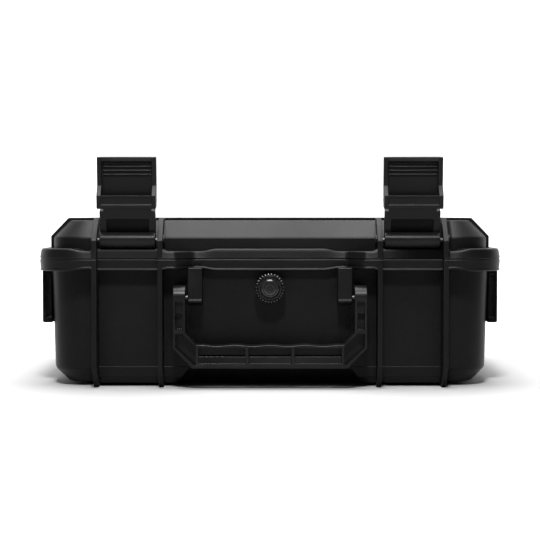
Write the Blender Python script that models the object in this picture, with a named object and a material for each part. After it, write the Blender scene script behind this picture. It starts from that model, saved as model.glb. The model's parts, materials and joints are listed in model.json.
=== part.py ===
"""Hard protective carrying case with two double-throw latches, a folding handle and an air valve.

The case lies flat. Origin: centre of the bounding box's bottom face. +X to the right, +Y to the
hinges, +Z up. The lid is closed, both latches are flipped up and open, and the handle hangs down.
"""
import math

import bmesh
import bpy
from mathutils import Matrix

mm = 0.001
PART_NAME = "protective_case"

# ---------------------------------------------------------------- driving dimensions
PARTING_Z = 91 * mm             # height of the line where lid and base meet
PARTING_GAP = 0.15 * mm         # half of the gap between the two shells
GAP = 0.3 * mm                  # gap kept between touching pieces
WALL = 3 * mm                   # wall thickness of both shells

FLANGE_HALF_X = 165 * mm        # half of the overall width
FLANGE_HALF_Y = 139 * mm        # half of the flange's depth
FLANGE_CORNER = 35 * mm
FLANGE_UP = 7.5 * mm            # height of the lid's flange above the parting line
FLANGE_DOWN = 8.5 * mm          # depth of the base's flange below the parting line
FLANGE_TAPER = 0.8 * mm         # how much each flange narrows away from the parting line
RECESS_Y = 127 * mm             # flange line in the middle of the front and the rear
RECESS_X = (54 * mm, 66 * mm)   # where the slanted ends of that recess start and end
LATCH_BAY_Y = 131 * mm          # flange line between a front pair of fins
HINGE_BAY_Y = 133 * mm          # flange line between a rear pair of fins

FIN_X = (77 * mm, 123 * mm)     # the ribs that run front to back, right half
FIN_THICK = 3.5 * mm
BAY_X = 100 * mm                # middle of a pair of fins
REAR_FIN_Y = 143.4 * mm         # the base's rear fins, which the case can stand on
RUNNER_Z = 2.5 * mm             # the fins' height under the base

LID_RIB_Z = PARTING_Z + 29 * mm          # top of the lid's ribs
LID_PLATE_Z = PARTING_Z + 27.2 * mm      # top of the lid's plate
LID_SHOULDER_Z = PARTING_Z + 15 * mm     # where the lid's wall turns into its chamfer
LID_HALF = (156.3 * mm, 122.5 * mm)
LID_TOP_HALF = (144.5 * mm, 110 * mm)
LID_CORNER = 27 * mm
RIB_PITCH = 32.25 * mm          # spacing of the lid's ribs that run left to right
RIB_THICK = 3 * mm
RIB_HEIGHT = LID_RIB_Z - LID_PLATE_Z

BASE_HALF = (157.5 * mm, 121 * mm)
BASE_FOOT_HALF = (155.5 * mm, 119.4 * mm)    # at the top of the bottom chamfer
BASE_CHAMFER = 10 * mm
BASE_CORNER = 26 * mm
FLOOR_Z = RUNNER_Z + WALL       # inner floor of the base

HINGE_Y = 139.2 * mm            # hinge axis, at the parting line
KNUCKLE_R = 4.2 * mm
HINGE_PIN_R = 1.5 * mm
HINGE_BORE_R = 1.9 * mm

LATCH_PIVOT_Y = -129 * mm
LATCH_PIVOT_Z = PARTING_Z + 13.5 * mm
LINK_TILT = math.radians(21)    # how far the open link leans forward
LEVER_TILT = math.radians(7)    # and the lever on it
LATCH_PIN_R = 1.5 * mm
LATCH_BORE_R = 1.9 * mm
BARREL_R = 5.4 * mm
LEVER_PIVOT = (4.1 * mm, 28.5 * mm)      # lever pin, behind and above the pivot of an upright latch
LEVER_PIN_R = 1.2 * mm
LEVER_BORE_R = 1.6 * mm
LEVER_HALF_X = 20.75 * mm
LINK_HALF_X = 19.3 * mm
LINK_NECK_X = 16.9 * mm
CHEEK_INNER_X = 17.4 * mm
BOSS = 1.2 * mm                 # how far the bosses around the latch pivots stand out of the fins
LATCH_PIN_SPAN = FIN_X[1] - BAY_X + FIN_THICK / 2 + BOSS    # half length of the latch pivot pin
# heights on an upright latch, from its pivot
BAR_Z = (22.9 * mm, 32.2 * mm)  # the hook bar
LINK_PLATE_Z = 3 * mm           # lower edge of the link's plate
LEVER_END_Z = 58.5 * mm
LIP_Z = 55 * mm
RIDGE_Z = (46.2 * mm, 49 * mm, 51.8 * mm)
# positions across an upright latch, towards the back
LINK_Y = (2.6 * mm, 8.5 * mm)   # the link's arms
NOSE_Y = -3.5 * mm              # front of the hook bar
CHEEK_Y = 3.2 * mm              # front edge of the lever above the hook bar
COVER_Y = (7.3 * mm, 10 * mm)   # the lever's back

HANDLE_PIVOT_Y = -134.9 * mm
HANDLE_PIVOT_Z = 64.3 * mm
HANDLE_DEPTH = 17 * mm
HANDLE_HALF_X = 67.8 * mm
HANDLE_ARM = 8.8 * mm           # width of an arm
HANDLE_BOTTOM_Z = 15 * mm
HANDLE_GRIP = 16.5 * mm         # height of the grip
POST_X = (47.5 * mm, 57.5 * mm)
POST_BOTTOM_Z = 58.5 * mm
HANDLE_PIN_R = 1.5 * mm
HANDLE_BORE_R = 1.9 * mm

VALVE_Z = 70.3 * mm
VALVE_WALL_Y = (-120.9 * mm, -117.1 * mm)    # just outside and just inside the front wall
VALVE_SEAT_R = 9.6 * mm
VALVE_STEM_R = 5 * mm
VALVE_BORE_R = 2.2 * mm
VALVE_SCREW_R = 1.7 * mm
O_RING_R = 1.1 * mm             # half of the cord's thickness
KNOB_R = 10.9 * mm
KNOB_DEPTH = 8.5 * mm
KNOB_TEETH = 20

PADLOCK_XY = (136 * mm, -131 * mm)
PADLOCK_R = 3.6 * mm

LOOP_Y = (-94 * mm, -61 * mm)   # the strap loops on the base's sides
LOOP_Z = (44 * mm, PARTING_Z - FLANGE_DOWN - GAP)
LOOP_X = (157.6 * mm, 165 * mm)
LOOP_WALL = (1.1 * mm, 2.0 * mm)         # inner and outer plate

SEAL_HALF = (158.2 * mm, 122.9 * mm)     # centre line of the seal
SEAL_CORNER = 28 * mm
SEAL_WIDTH = 4 * mm
SEAL_DEPTH = 3.2 * mm

FOAM_HALF = (149.5 * mm, 114.5 * mm)
FOAM_CORNER = 20 * mm
PAD_Z = (FLOOR_Z + GAP, 15.5 * mm)
INSERT_Z = (15.8 * mm, 86 * mm)
# pockets cut in the insert: low x, high x, low y, high y, floor z
POCKETS = {
    "drone": (-72 * mm, 72 * mm, -8 * mm, 92 * mm, 30 * mm),
    "controller": (-72 * mm, 72 * mm, -94 * mm, -26 * mm, 34 * mm),
    "battery_left": (-132 * mm, -90 * mm, 14 * mm, 92 * mm, 40 * mm),
    "battery_right": (90 * mm, 132 * mm, 14 * mm, 92 * mm, 40 * mm),
    "charger_left": (-132 * mm, -90 * mm, -94 * mm, -6 * mm, 40 * mm),
    "charger_right": (90 * mm, 132 * mm, -94 * mm, -6 * mm, 40 * mm),
}

BADGE_HALF = (31 * mm, 14.5 * mm)
BADGE_THICK = 0.8 * mm
EMBLEM_R = (8 * mm, 5 * mm)     # outside and inside of the hexagonal ring
EMBLEM_THICK = 0.4 * mm

CORNER_STEPS = 5                # facets of a rounded corner
ROUND_STEPS = 16                # facets of a small cylinder

# ---------------------------------------------------------------- scene
for old in list(bpy.data.objects):
    bpy.data.objects.remove(old, do_unlink=True)

parts = bpy.data.collections.new(PART_NAME)
tools = bpy.data.collections.new("cutters")
for collection in (parts, tools):
    bpy.context.scene.collection.children.link(collection)


def material(name, color, roughness, metallic=0.0):
    """A plain Principled material."""
    made = bpy.data.materials.new(name)
    made.use_nodes = True
    shader = made.node_tree.nodes["Principled BSDF"]
    shader.inputs["Base Color"].default_value = (*color, 1.0)
    shader.inputs["Roughness"].default_value = roughness
    shader.inputs["Metallic"].default_value = metallic
    return made


SHELL_PLASTIC = ((0.016, 0.016, 0.017), 0.48)
FOAM = ((0.03, 0.03, 0.032), 0.95)
RUBBER = ((0.02, 0.02, 0.02), 0.7)
STEEL = ((0.62, 0.62, 0.63), 0.28, 1.0)
BADGE_GLOSS = ((0.008, 0.008, 0.009), 0.08)


# ---------------------------------------------------------------- shape helpers
def put(bm, name, collection=None):
    """Turn a bmesh into an object with outward faces."""
    bmesh.ops.recalc_face_normals(bm, faces=bm.faces)
    mesh = bpy.data.meshes.new(name)
    bm.to_mesh(mesh)
    bm.free()
    made = bpy.data.objects.new(name, mesh)
    (collection or tools).objects.link(made)
    if collection is None:
        made.hide_render = True
        made.display_type = "WIRE"
    return made


def box(name, low, high, collection=None):
    """A box between two corners."""
    bm = bmesh.new()
    bmesh.ops.create_cube(bm, size=1.0)
    size = [b - a for a, b in zip(low, high)]
    middle = [(a + b) / 2 for a, b in zip(low, high)]
    bmesh.ops.scale(bm, vec=size, verts=bm.verts)
    bmesh.ops.translate(bm, vec=middle, verts=bm.verts)
    return put(bm, name, collection)


TURN_TO = {
    "x": Matrix.Rotation(math.pi / 2, 4, "Y"),
    "y": Matrix.Rotation(-math.pi / 2, 4, "X"),
    "z": Matrix.Identity(4),
}


def rod(name, axis, radius, start, length, collection=None, steps=ROUND_STEPS):
    """A cylinder that runs from a start point along +X, +Y or +Z."""
    bm = bmesh.new()
    bmesh.ops.create_cone(bm, cap_ends=True, segments=steps, radius1=radius, radius2=radius, depth=length)
    bmesh.ops.translate(bm, vec=(0, 0, length / 2), verts=bm.verts)
    bmesh.ops.rotate(bm, matrix=Matrix.Rotation(math.pi / steps, 3, "Z"), verts=bm.verts)
    bmesh.ops.transform(bm, matrix=Matrix.Translation(start) @ TURN_TO[axis], verts=bm.verts)
    return put(bm, name, collection)


def arc(centre, radius, start, end, steps):
    """Points on an arc, angles in degrees."""
    points = []
    for i in range(steps + 1):
        angle = math.radians(start + (end - start) * i / steps)
        points.append((centre[0] + radius * math.cos(angle), centre[1] + radius * math.sin(angle)))
    return points


def rounded_rectangle(half_x, half_y, radius, steps=CORNER_STEPS):
    """Outline of a rectangle with round corners, counter-clockwise."""
    points = []
    for start, sign_x, sign_y in ((0, 1, 1), (90, -1, 1), (180, -1, -1), (270, 1, -1)):
        centre = (sign_x * (half_x - radius), sign_y * (half_y - radius))
        points += arc(centre, radius, start, start + 90, steps)
    return points


def loft(name, sections, collection=None):
    """A closed solid through flat outlines of the same number of points, each at its own height."""
    bm = bmesh.new()
    rings = [[bm.verts.new((x, y, z)) for x, y in outline] for outline, z in sections]
    for low, high in zip(rings, rings[1:]):
        for i in range(len(low)):
            j = (i + 1) % len(low)
            bm.faces.new((low[i], low[j], high[j], high[i]))
    bm.faces.new(reversed(rings[0]))
    bm.faces.new(rings[-1])
    return put(bm, name, collection)


# how a drawn outline (first, second) and its thickness lie in space
DRAWN_ON = {
    "xy": Matrix.Identity(4),
    "xz": Matrix(((1, 0, 0, 0), (0, 0, -1, 0), (0, 1, 0, 0), (0, 0, 0, 1))),
    "yz": Matrix(((0, 0, 1, 0), (1, 0, 0, 0), (0, 1, 0, 0), (0, 0, 0, 1))),
}


def plate(name, plane, outline, low, high, collection=None):
    """A flat outline given thickness between two positions along the plane's normal."""
    curve = bpy.data.curves.new(name, "CURVE")
    curve.dimensions = "2D"
    curve.fill_mode = "BOTH"
    curve.extrude = abs(high - low) / 2
    spline = curve.splines.new("POLY")
    spline.points.add(len(outline) - 1)
    for point, (a, b) in zip(spline.points, outline):
        point.co = (a, b, 0, 1)
    spline.use_cyclic_u = True
    drawn = bpy.data.objects.new(name, curve)
    tools.objects.link(drawn)
    middle = (low + high) / 2
    shift = -middle if plane == "xz" else middle
    bpy.context.view_layer.update()
    evaluated = drawn.evaluated_get(bpy.context.evaluated_depsgraph_get())
    mesh = bpy.data.meshes.new_from_object(evaluated)
    bpy.data.objects.remove(drawn, do_unlink=True)
    bm = bmesh.new()
    bm.from_mesh(mesh)
    bpy.data.meshes.remove(mesh)
    bmesh.ops.remove_doubles(bm, verts=bm.verts, dist=0.00001)
    bmesh.ops.transform(bm, matrix=DRAWN_ON[plane] @ Matrix.Translation((0, 0, shift)), verts=bm.verts)
    return put(bm, name, collection)


def mirrored(outline):
    """The same outline with its first coordinate turned round."""
    return [(-a, b) for a, b in reversed(outline)]


def combine(target, operation, tool):
    """Leave a Boolean modifier on the target."""
    step = target.modifiers.new(operation.lower() + "_" + tool.name, "BOOLEAN")
    step.operation = operation
    step.solver = "EXACT"
    step.object = tool


def join(target, *pieces):
    for piece in pieces:
        combine(target, "UNION", piece)


def cut(target, *pieces):
    for piece in pieces:
        combine(target, "DIFFERENCE", piece)


def finish(made, look):
    """Give a part its own material and smooth shading across its shallow edges."""
    made.data.materials.clear()
    made.data.materials.append(material(made.name, *look))
    made.data.shade_smooth()
    made.data.set_sharp_from_angle(angle=math.radians(30))
    return made


def place(made, parent, location=(0, 0, 0), rotation=(0, 0, 0)):
    made.parent = parent
    made.location = location
    made.rotation_euler = rotation
    return made


def pivot(name, location, rotation=(0, 0, 0)):
    """An empty on a joint's axis."""
    made = bpy.data.objects.new(name, None)
    made.empty_display_size = 10 * mm
    parts.objects.link(made)
    made.location = location
    made.rotation_euler = rotation
    return made


def move_origin(made, point):
    """Put an object's origin on a point without moving its shape."""
    made.data.transform(Matrix.Translation([-c for c in point]))
    made.location = point


def hang_on_lid(made):
    move_origin(made, (0, HINGE_Y, PARTING_Z))
    place(made, LID_PIVOT)


# ---------------------------------------------------------------- flange outline
def flange_outline(inset):
    """Outline shared by the lid's and the base's flange, recessed at the handle, latches and hinges."""
    side_x = FLANGE_HALF_X - inset
    edge_y = FLANGE_HALF_Y - inset
    bay = (FIN_X[0] + FIN_THICK / 2, FIN_X[1] - FIN_THICK / 2)

    def quarter(bay_y):
        radius = FLANGE_CORNER - inset
        line = [(RECESS_X[0], RECESS_Y - inset), (RECESS_X[1], edge_y)]
        line += [(bay[0], edge_y), (bay[0], bay_y - inset), (bay[1], bay_y - inset), (bay[1], edge_y)]
        corner = arc((side_x - radius, edge_y - radius), radius, 90, 0, CORNER_STEPS + 1)
        return line + corner

    rear_right = quarter(HINGE_BAY_Y)
    front_right = [(x, -y) for x, y in reversed(quarter(LATCH_BAY_Y))]
    front_left = [(-x, -y) for x, y in quarter(LATCH_BAY_Y)]
    rear_left = [(-x, y) for x, y in reversed(rear_right)]
    return rear_right + front_right + front_left + rear_left


def flange(name, z_parting, z_edge):
    """A flange that is widest at the parting line."""
    sections = [(flange_outline(0), z_parting), (flange_outline(FLANGE_TAPER), z_edge)]
    return loft(name, sorted(sections, key=lambda section: section[1]))


def padlock_holes(name, z_low, z_high):
    holes = []
    for side in (-1, 1):
        start = (side * PADLOCK_XY[0], PADLOCK_XY[1], z_low)
        holes.append(rod(f"{name}_{side}", "z", PADLOCK_R, start, z_high - z_low, steps=12))
    return holes


def knuckle_outline(sign):
    """Hinge knuckle with its web; sign 1 hangs from the lid, -1 rises from the base."""
    web_y = HINGE_BAY_Y - 2 * mm
    near = PARTING_GAP + 0.15 * mm
    points = arc((HINGE_Y, 0), KNUCKLE_R, 75, -175, 10)
    points += [(HINGE_Y - KNUCKLE_R, near), (web_y, near), (web_y, FLANGE_UP - 1.2 * mm)]
    return [(y, PARTING_Z + sign * z) for y, z in points]


def knuckles(name, sign, spans):
    """Knuckles on both hinges over the given spans measured from a hinge's middle."""
    made = []
    for side in (-1, 1):
        for index, (low, high) in enumerate(spans):
            outline, middle = knuckle_outline(sign), side * BAY_X
            made.append(plate(f"{name}_{side}_{index}", "yz", outline, middle + low, middle + high))
    return made


def hinge_bores(name):
    half = FIN_X[1] - BAY_X - FIN_THICK / 2
    return [rod(f"{name}_{side}", "x", HINGE_BORE_R, (side * BAY_X - half, HINGE_Y, PARTING_Z), 2 * half)
            for side in (-1, 1)]


LID_KNUCKLES = [(-9.6 * mm, 9.6 * mm)]
BASE_KNUCKLES = [(-20.9 * mm, -10 * mm), (10 * mm, 20.9 * mm)]


# ---------------------------------------------------------------- lid
def make_lid():
    bottom = PARTING_Z + PARTING_GAP
    corner_top = LID_CORNER - (LID_HALF[0] - LID_TOP_HALF[0])
    lid = loft("lid_shell", [
        (rounded_rectangle(*LID_HALF, LID_CORNER), bottom),
        (rounded_rectangle(*LID_HALF, LID_CORNER), LID_SHOULDER_Z),
        (rounded_rectangle(*LID_TOP_HALF, corner_top), LID_PLATE_Z),
    ], parts)
    join(lid, flange("lid_flange", bottom, PARTING_Z + FLANGE_UP))

    edge = FLANGE_HALF_Y
    slant_z = PARTING_Z + 13 * mm
    top_y = 122.5 * mm
    profile = [(-edge, bottom), (edge, bottom), (edge, slant_z), (top_y, LID_RIB_Z), (-top_y, LID_RIB_Z),
               (-edge, slant_z)]
    for side in (-1, 1):
        for index, x in enumerate(FIN_X):
            low = side * x - FIN_THICK / 2
            join(lid, plate(f"lid_fin_{side}_{index}", "yz", profile, low, low + FIN_THICK))

    wall_x = LID_HALF[0] + RIB_HEIGHT
    plate_x = LID_TOP_HALF[0] + RIB_HEIGHT / 2
    inner_x = FIN_X[1]
    skirt_z = PARTING_Z + FLANGE_UP - FLANGE_TAPER
    flank = [(wall_x, skirt_z), (wall_x, LID_SHOULDER_Z + RIB_HEIGHT / 2), (plate_x, LID_RIB_Z)]
    full = flank + [(-a, b) for a, b in reversed(flank)]
    short = flank + [(inner_x, LID_RIB_Z), (inner_x, skirt_z)]
    for step in range(-3, 4):
        low = step * RIB_PITCH - RIB_THICK / 2
        high = low + RIB_THICK
        if abs(step) >= 2:
            join(lid, plate(f"lid_rib_{step}", "xz", full, low, high))
        else:
            join(lid, plate(f"lid_rib_{step}_right", "xz", short, low, high))
            join(lid, plate(f"lid_rib_{step}_left", "xz", mirrored(short), low, high))

    for side in (-1, 1):
        for x in FIN_X:
            outward = 1 if x > BAY_X else -1
            face = side * x + side * outward * FIN_THICK / 2
            start = min(face - side * outward * 0.5 * mm, face + side * outward * BOSS)
            centre = (start, LATCH_PIVOT_Y, LATCH_PIVOT_Z)
            join(lid, rod(f"lid_boss_{side}_{x / mm:.0f}", "x", 3.6 * mm, centre, BOSS + 0.5 * mm))
    join(lid, *knuckles("lid_knuckle", 1, LID_KNUCKLES))

    inner = (LID_HALF[0] - WALL, LID_HALF[1] - WALL)
    inner_top = (LID_TOP_HALF[0] - WALL / 2, LID_TOP_HALF[1] - WALL / 2)
    cavity = loft("lid_cavity", [
        (rounded_rectangle(*inner, LID_CORNER - WALL), bottom - 1 * mm),
        (rounded_rectangle(*inner, LID_CORNER - WALL), LID_SHOULDER_Z - WALL / 2),
        (rounded_rectangle(*inner_top, corner_top - WALL / 2), LID_PLATE_Z - WALL),
    ])
    cut(lid, cavity, *padlock_holes("lid_padlock_hole", bottom - 1 * mm, PARTING_Z + FLANGE_UP + 1 * mm))
    cut(lid, *hinge_bores("lid_hinge_bore"))
    reach = LATCH_PIN_SPAN + 1 * mm
    for side in (-1, 1):
        start = (side * BAY_X - reach, LATCH_PIVOT_Y, LATCH_PIVOT_Z)
        cut(lid, rod(f"lid_latch_bore_{side}", "x", LATCH_BORE_R, start, 2 * reach))
    for piece in [step.object for step in lid.modifiers] + [lid]:
        hang_on_lid(piece)
    finish(lid, SHELL_PLASTIC)


# ---------------------------------------------------------------- base
def seal_ring(name, width, z_low, z_high, collection=None):
    """A flat ring along the seal's line."""
    half = width / 2
    outer = rounded_rectangle(SEAL_HALF[0] + half, SEAL_HALF[1] + half, SEAL_CORNER + half)
    inner = rounded_rectangle(SEAL_HALF[0] - half, SEAL_HALF[1] - half, SEAL_CORNER - half)
    bm = bmesh.new()
    loops = []
    for outline, z in ((outer, z_low), (outer, z_high), (inner, z_high), (inner, z_low)):
        loops.append([bm.verts.new((x, y, z)) for x, y in outline])
    count = len(outer)
    for a, b in zip(loops, loops[1:] + loops[:1]):
        for i in range(count):
            j = (i + 1) % count
            bm.faces.new((a[i], a[j], b[j], b[i]))
    return put(bm, name, collection)


def make_base():
    top = PARTING_Z - PARTING_GAP
    chamfer_half = [half - BASE_CHAMFER for half in BASE_FOOT_HALF]
    base = loft("base_shell", [
        (rounded_rectangle(*chamfer_half, BASE_CORNER - BASE_CHAMFER), RUNNER_Z),
        (rounded_rectangle(*BASE_FOOT_HALF, BASE_CORNER), RUNNER_Z + BASE_CHAMFER),
        (rounded_rectangle(*BASE_HALF, BASE_CORNER), top),
    ], parts)
    join(base, flange("base_flange", top, PARTING_Z - FLANGE_DOWN))

    slant = 15 * mm
    front, rear = -FLANGE_HALF_Y, REAR_FIN_Y
    profile = [(front, top), (front, slant), (front + slant, 0), (rear - slant, 0), (rear, slant),
               (rear, top)]
    for side in (-1, 1):
        for index, x in enumerate(FIN_X):
            low = side * x - FIN_THICK / 2
            join(base, plate(f"base_fin_{side}_{index}", "yz", profile, low, low + FIN_THICK))

    foot_y = BASE_FOOT_HALF[1] + 0.4 * mm
    foot_top = RUNNER_Z + BASE_CHAMFER + 2 * mm
    foot = [(foot_y, foot_top), (foot_y, 7 * mm), (foot_y - 4 * mm, RUNNER_Z), (foot_y - 30 * mm, RUNNER_Z),
            (foot_y - 30 * mm, foot_top)]
    for side in (-1, 1):
        low, high = sorted((side * 63 * mm, side * FIN_X[1]))
        join(base, plate(f"rear_foot_{side}", "yz", foot, low, high))
        join(base, plate(f"front_foot_{side}", "yz", mirrored(foot), low, high))

    for side in (-1, 1):
        low, high = sorted(side * x for x in POST_X)
        wall_y = -BASE_FOOT_HALF[1] + 1 * mm
        post_y, post_top = -FLANGE_HALF_Y + 1 * mm, PARTING_Z - FLANGE_DOWN + 1 * mm
        post = [(wall_y, post_top), (post_y, post_top), (post_y, POST_BOTTOM_Z + 4 * mm),
                (post_y + 4 * mm, POST_BOTTOM_Z), (wall_y, POST_BOTTOM_Z)]
        join(base, plate(f"handle_post_{side}", "yz", post, low, high))
    join(base, *knuckles("base_knuckle", -1, BASE_KNUCKLES))

    inner = [half - WALL for half in BASE_HALF]
    inner_foot = [half - WALL for half in BASE_FOOT_HALF]
    inner_floor = [half - WALL / 2 for half in chamfer_half]
    cavity = loft("base_cavity", [
        (rounded_rectangle(*inner_floor, BASE_CORNER - BASE_CHAMFER - WALL / 2), FLOOR_Z),
        (rounded_rectangle(*inner_foot, BASE_CORNER - WALL), RUNNER_Z + BASE_CHAMFER + WALL / 2),
        (rounded_rectangle(*inner, BASE_CORNER - WALL), top + 1 * mm),
    ])
    cut(base, cavity, seal_ring("seal_groove", SEAL_WIDTH + 2 * GAP, top - SEAL_DEPTH, top + 1 * mm))
    cut(base, *padlock_holes("base_padlock_hole", PARTING_Z - FLANGE_DOWN - 1 * mm, top + 1 * mm))
    cut(base, *hinge_bores("base_hinge_bore"))
    start = (0, -BASE_HALF[1] - 4 * mm, VALVE_Z)
    cut(base, rod("valve_wall_hole", "y", VALVE_STEM_R + GAP, start, 12 * mm))
    for side in (-1, 1):
        start_x = min(side * (POST_X[1] + 1 * mm), side * (POST_X[1] - 6 * mm))
        start = (start_x, HANDLE_PIVOT_Y, HANDLE_PIVOT_Z)
        cut(base, rod(f"post_bore_{side}", "x", HANDLE_BORE_R, start, 7 * mm))
    return finish(base, SHELL_PLASTIC)


def make_seal():
    top = PARTING_Z - PARTING_GAP - 0.15 * mm
    seal = seal_ring("lid_seal", SEAL_WIDTH, PARTING_Z - PARTING_GAP - SEAL_DEPTH + GAP, top, parts)
    return finish(seal, RUBBER)


# ---------------------------------------------------------------- foam
def make_foam():
    pad = loft("floor_pad_foam", [
        (rounded_rectangle(138 * mm, 104 * mm, 9 * mm), PAD_Z[0]),
        (rounded_rectangle(147 * mm, 113 * mm, 18 * mm), PAD_Z[1]),
    ], parts)
    insert = loft("insert_foam", [
        (rounded_rectangle(*FOAM_HALF, FOAM_CORNER), INSERT_Z[0]),
        (rounded_rectangle(*FOAM_HALF, FOAM_CORNER), INSERT_Z[1]),
    ], parts)
    for name, (x0, x1, y0, y1, floor) in POCKETS.items():
        cut(insert, box(f"pocket_{name}", (x0, y0, floor), (x1, y1, INSERT_Z[1] + 5 * mm)))
    # room for the valve's nut
    low = (-11 * mm, -FOAM_HALF[1] - 1 * mm, 58 * mm)
    high = (11 * mm, -FOAM_HALF[1] + 6 * mm, INSERT_Z[1] + 1 * mm)
    cut(insert, box("valve_notch", low, high))
    lid_foam = loft("lid_foam", [
        (rounded_rectangle(*FOAM_HALF, FOAM_CORNER), PARTING_Z + 0.5 * mm),
        (rounded_rectangle(*FOAM_HALF, FOAM_CORNER), LID_SHOULDER_Z - 3 * mm),
        (rounded_rectangle(140 * mm, 105.5 * mm, 10 * mm), LID_PLATE_Z - WALL - 0.6 * mm),
    ], parts)
    hang_on_lid(lid_foam)
    for made in (pad, insert, lid_foam):
        finish(made, FOAM)


# ---------------------------------------------------------------- hinges
def make_hinge_pins():
    half = FIN_X[1] - BAY_X - FIN_THICK / 2 - GAP
    for side, label in ((-1, "left"), (1, "right")):
        start = (side * BAY_X - half, HINGE_Y, PARTING_Z)
        finish(rod(f"hinge_pin_{label}", "x", HINGE_PIN_R, start, 2 * half, parts, 12), STEEL)


# ---------------------------------------------------------------- latches
def link_body(name):
    """The part of a latch that pivots on the lid: barrel, two arms, plate and end knuckle."""
    made = rod(name, "x", BARREL_R, (-LINK_HALF_X, 0, 0), 2 * LINK_HALF_X, parts, 20)
    inner, outer = LINK_Y
    arm = [(inner, 0), (5.2 * mm, 0), (5.3 * mm, 3 * mm), (outer, 10 * mm), (outer, 20.5 * mm),
           (inner, 20.5 * mm)]
    for side in (-1, 1):
        low, high = sorted((side * 14.8 * mm, side * LINK_HALF_X))
        join(made, plate(f"{name}_arm_{side}", "yz", arm, low, high))
    pin_y, pin_z = LEVER_PIVOT
    low, high = (-LINK_NECK_X, inner, LINK_PLATE_Z), (LINK_NECK_X, inner + 3 * mm, pin_z)
    join(made, box(f"{name}_plate", low, high))
    join(made, rod(f"{name}_knuckle", "x", 2.9 * mm, (-LINK_NECK_X, pin_y, pin_z), 2 * LINK_NECK_X))
    reach = LINK_HALF_X + 1 * mm
    cut(made, rod(f"{name}_bore", "x", LATCH_BORE_R, (-reach, 0, 0), 2 * reach))
    cut(made, rod(f"{name}_pin_bore", "x", LEVER_BORE_R, (-reach, pin_y, pin_z), 2 * reach, steps=12))
    return made


def lever_body(name):
    """The outer lever: two cheeks, hook bar, cover, end lip and grip ridges."""
    pin_y, pin_z = LEVER_PIVOT
    cover, face = COVER_Y
    cheek = [(NOSE_Y, BAR_Z[0]), (5.5 * mm, BAR_Z[0]), (9 * mm, 26 * mm), (face, 30.5 * mm),
             (face, LEVER_END_Z), (CHEEK_Y, LEVER_END_Z), (CHEEK_Y, 38.5 * mm), (NOSE_Y, BAR_Z[1])]
    made = plate(name, "yz", cheek, CHEEK_INNER_X, LEVER_HALF_X, parts)
    reach = CHEEK_INNER_X + 1 * mm
    pieces = [
        plate(f"{name}_cheek", "yz", cheek, -LEVER_HALF_X, -CHEEK_INNER_X),
        box(f"{name}_bar", (-reach, NOSE_Y, BAR_Z[0]), (reach, 0.4 * mm, BAR_Z[1])),
        box(f"{name}_cover", (-reach, cover, pin_z + 2.3 * mm), (reach, face, LEVER_END_Z)),
        box(f"{name}_lip", (-reach, CHEEK_Y, LIP_Z), (reach, cover + 1 * mm, LEVER_END_Z)),
    ]
    for index, z in enumerate(RIDGE_Z):
        low, high = (-reach, cover - 1.6 * mm, z - 0.7 * mm), (reach, cover + 1 * mm, z + 0.7 * mm)
        pieces.append(box(f"{name}_ridge_{index}", low, high))
    join(made, *pieces)
    wide = LEVER_HALF_X + 1 * mm
    cut(made, rod(f"{name}_pin_bore", "x", LEVER_BORE_R, (-wide, pin_y, pin_z), 2 * wide, steps=12))
    return made


def make_latches():
    for side, label in ((-1, "left"), (1, "right")):
        at = (side * BAY_X, LATCH_PIVOT_Y - HINGE_Y, LATCH_PIVOT_Z - PARTING_Z)
        link_pivot = pivot(f"latch_{label}_pivot", at, (LINK_TILT, 0, 0))
        link_pivot.parent = LID_PIVOT
        link = link_body(f"latch_link_{label}")
        for tool in [step.object for step in link.modifiers]:
            place(tool, link_pivot)
        place(finish(link, SHELL_PLASTIC), link_pivot)
        start = (-LATCH_PIN_SPAN, 0, 0)
        pivot_pin = rod(f"latch_pivot_pin_{label}", "x", LATCH_PIN_R, start, 2 * LATCH_PIN_SPAN, parts, 12)
        place(finish(pivot_pin, STEEL), link_pivot)

        lever_at = (0, *LEVER_PIVOT)
        lever_pivot = pivot(f"latch_{label}_lever_pivot", lever_at, (LEVER_TILT - LINK_TILT, 0, 0))
        lever_pivot.parent = link_pivot
        lever = lever_body(f"latch_lever_{label}")
        for piece in [step.object for step in lever.modifiers] + [lever]:
            move_origin(piece, lever_at)
            place(piece, lever_pivot)
        finish(lever, SHELL_PLASTIC)
        half = LEVER_HALF_X - 0.4 * mm
        lever_pin = rod(f"latch_lever_pin_{label}", "x", LEVER_PIN_R, (-half, 0, 0), 2 * half, parts, 12)
        place(finish(lever_pin, STEEL), lever_pivot)


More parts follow.
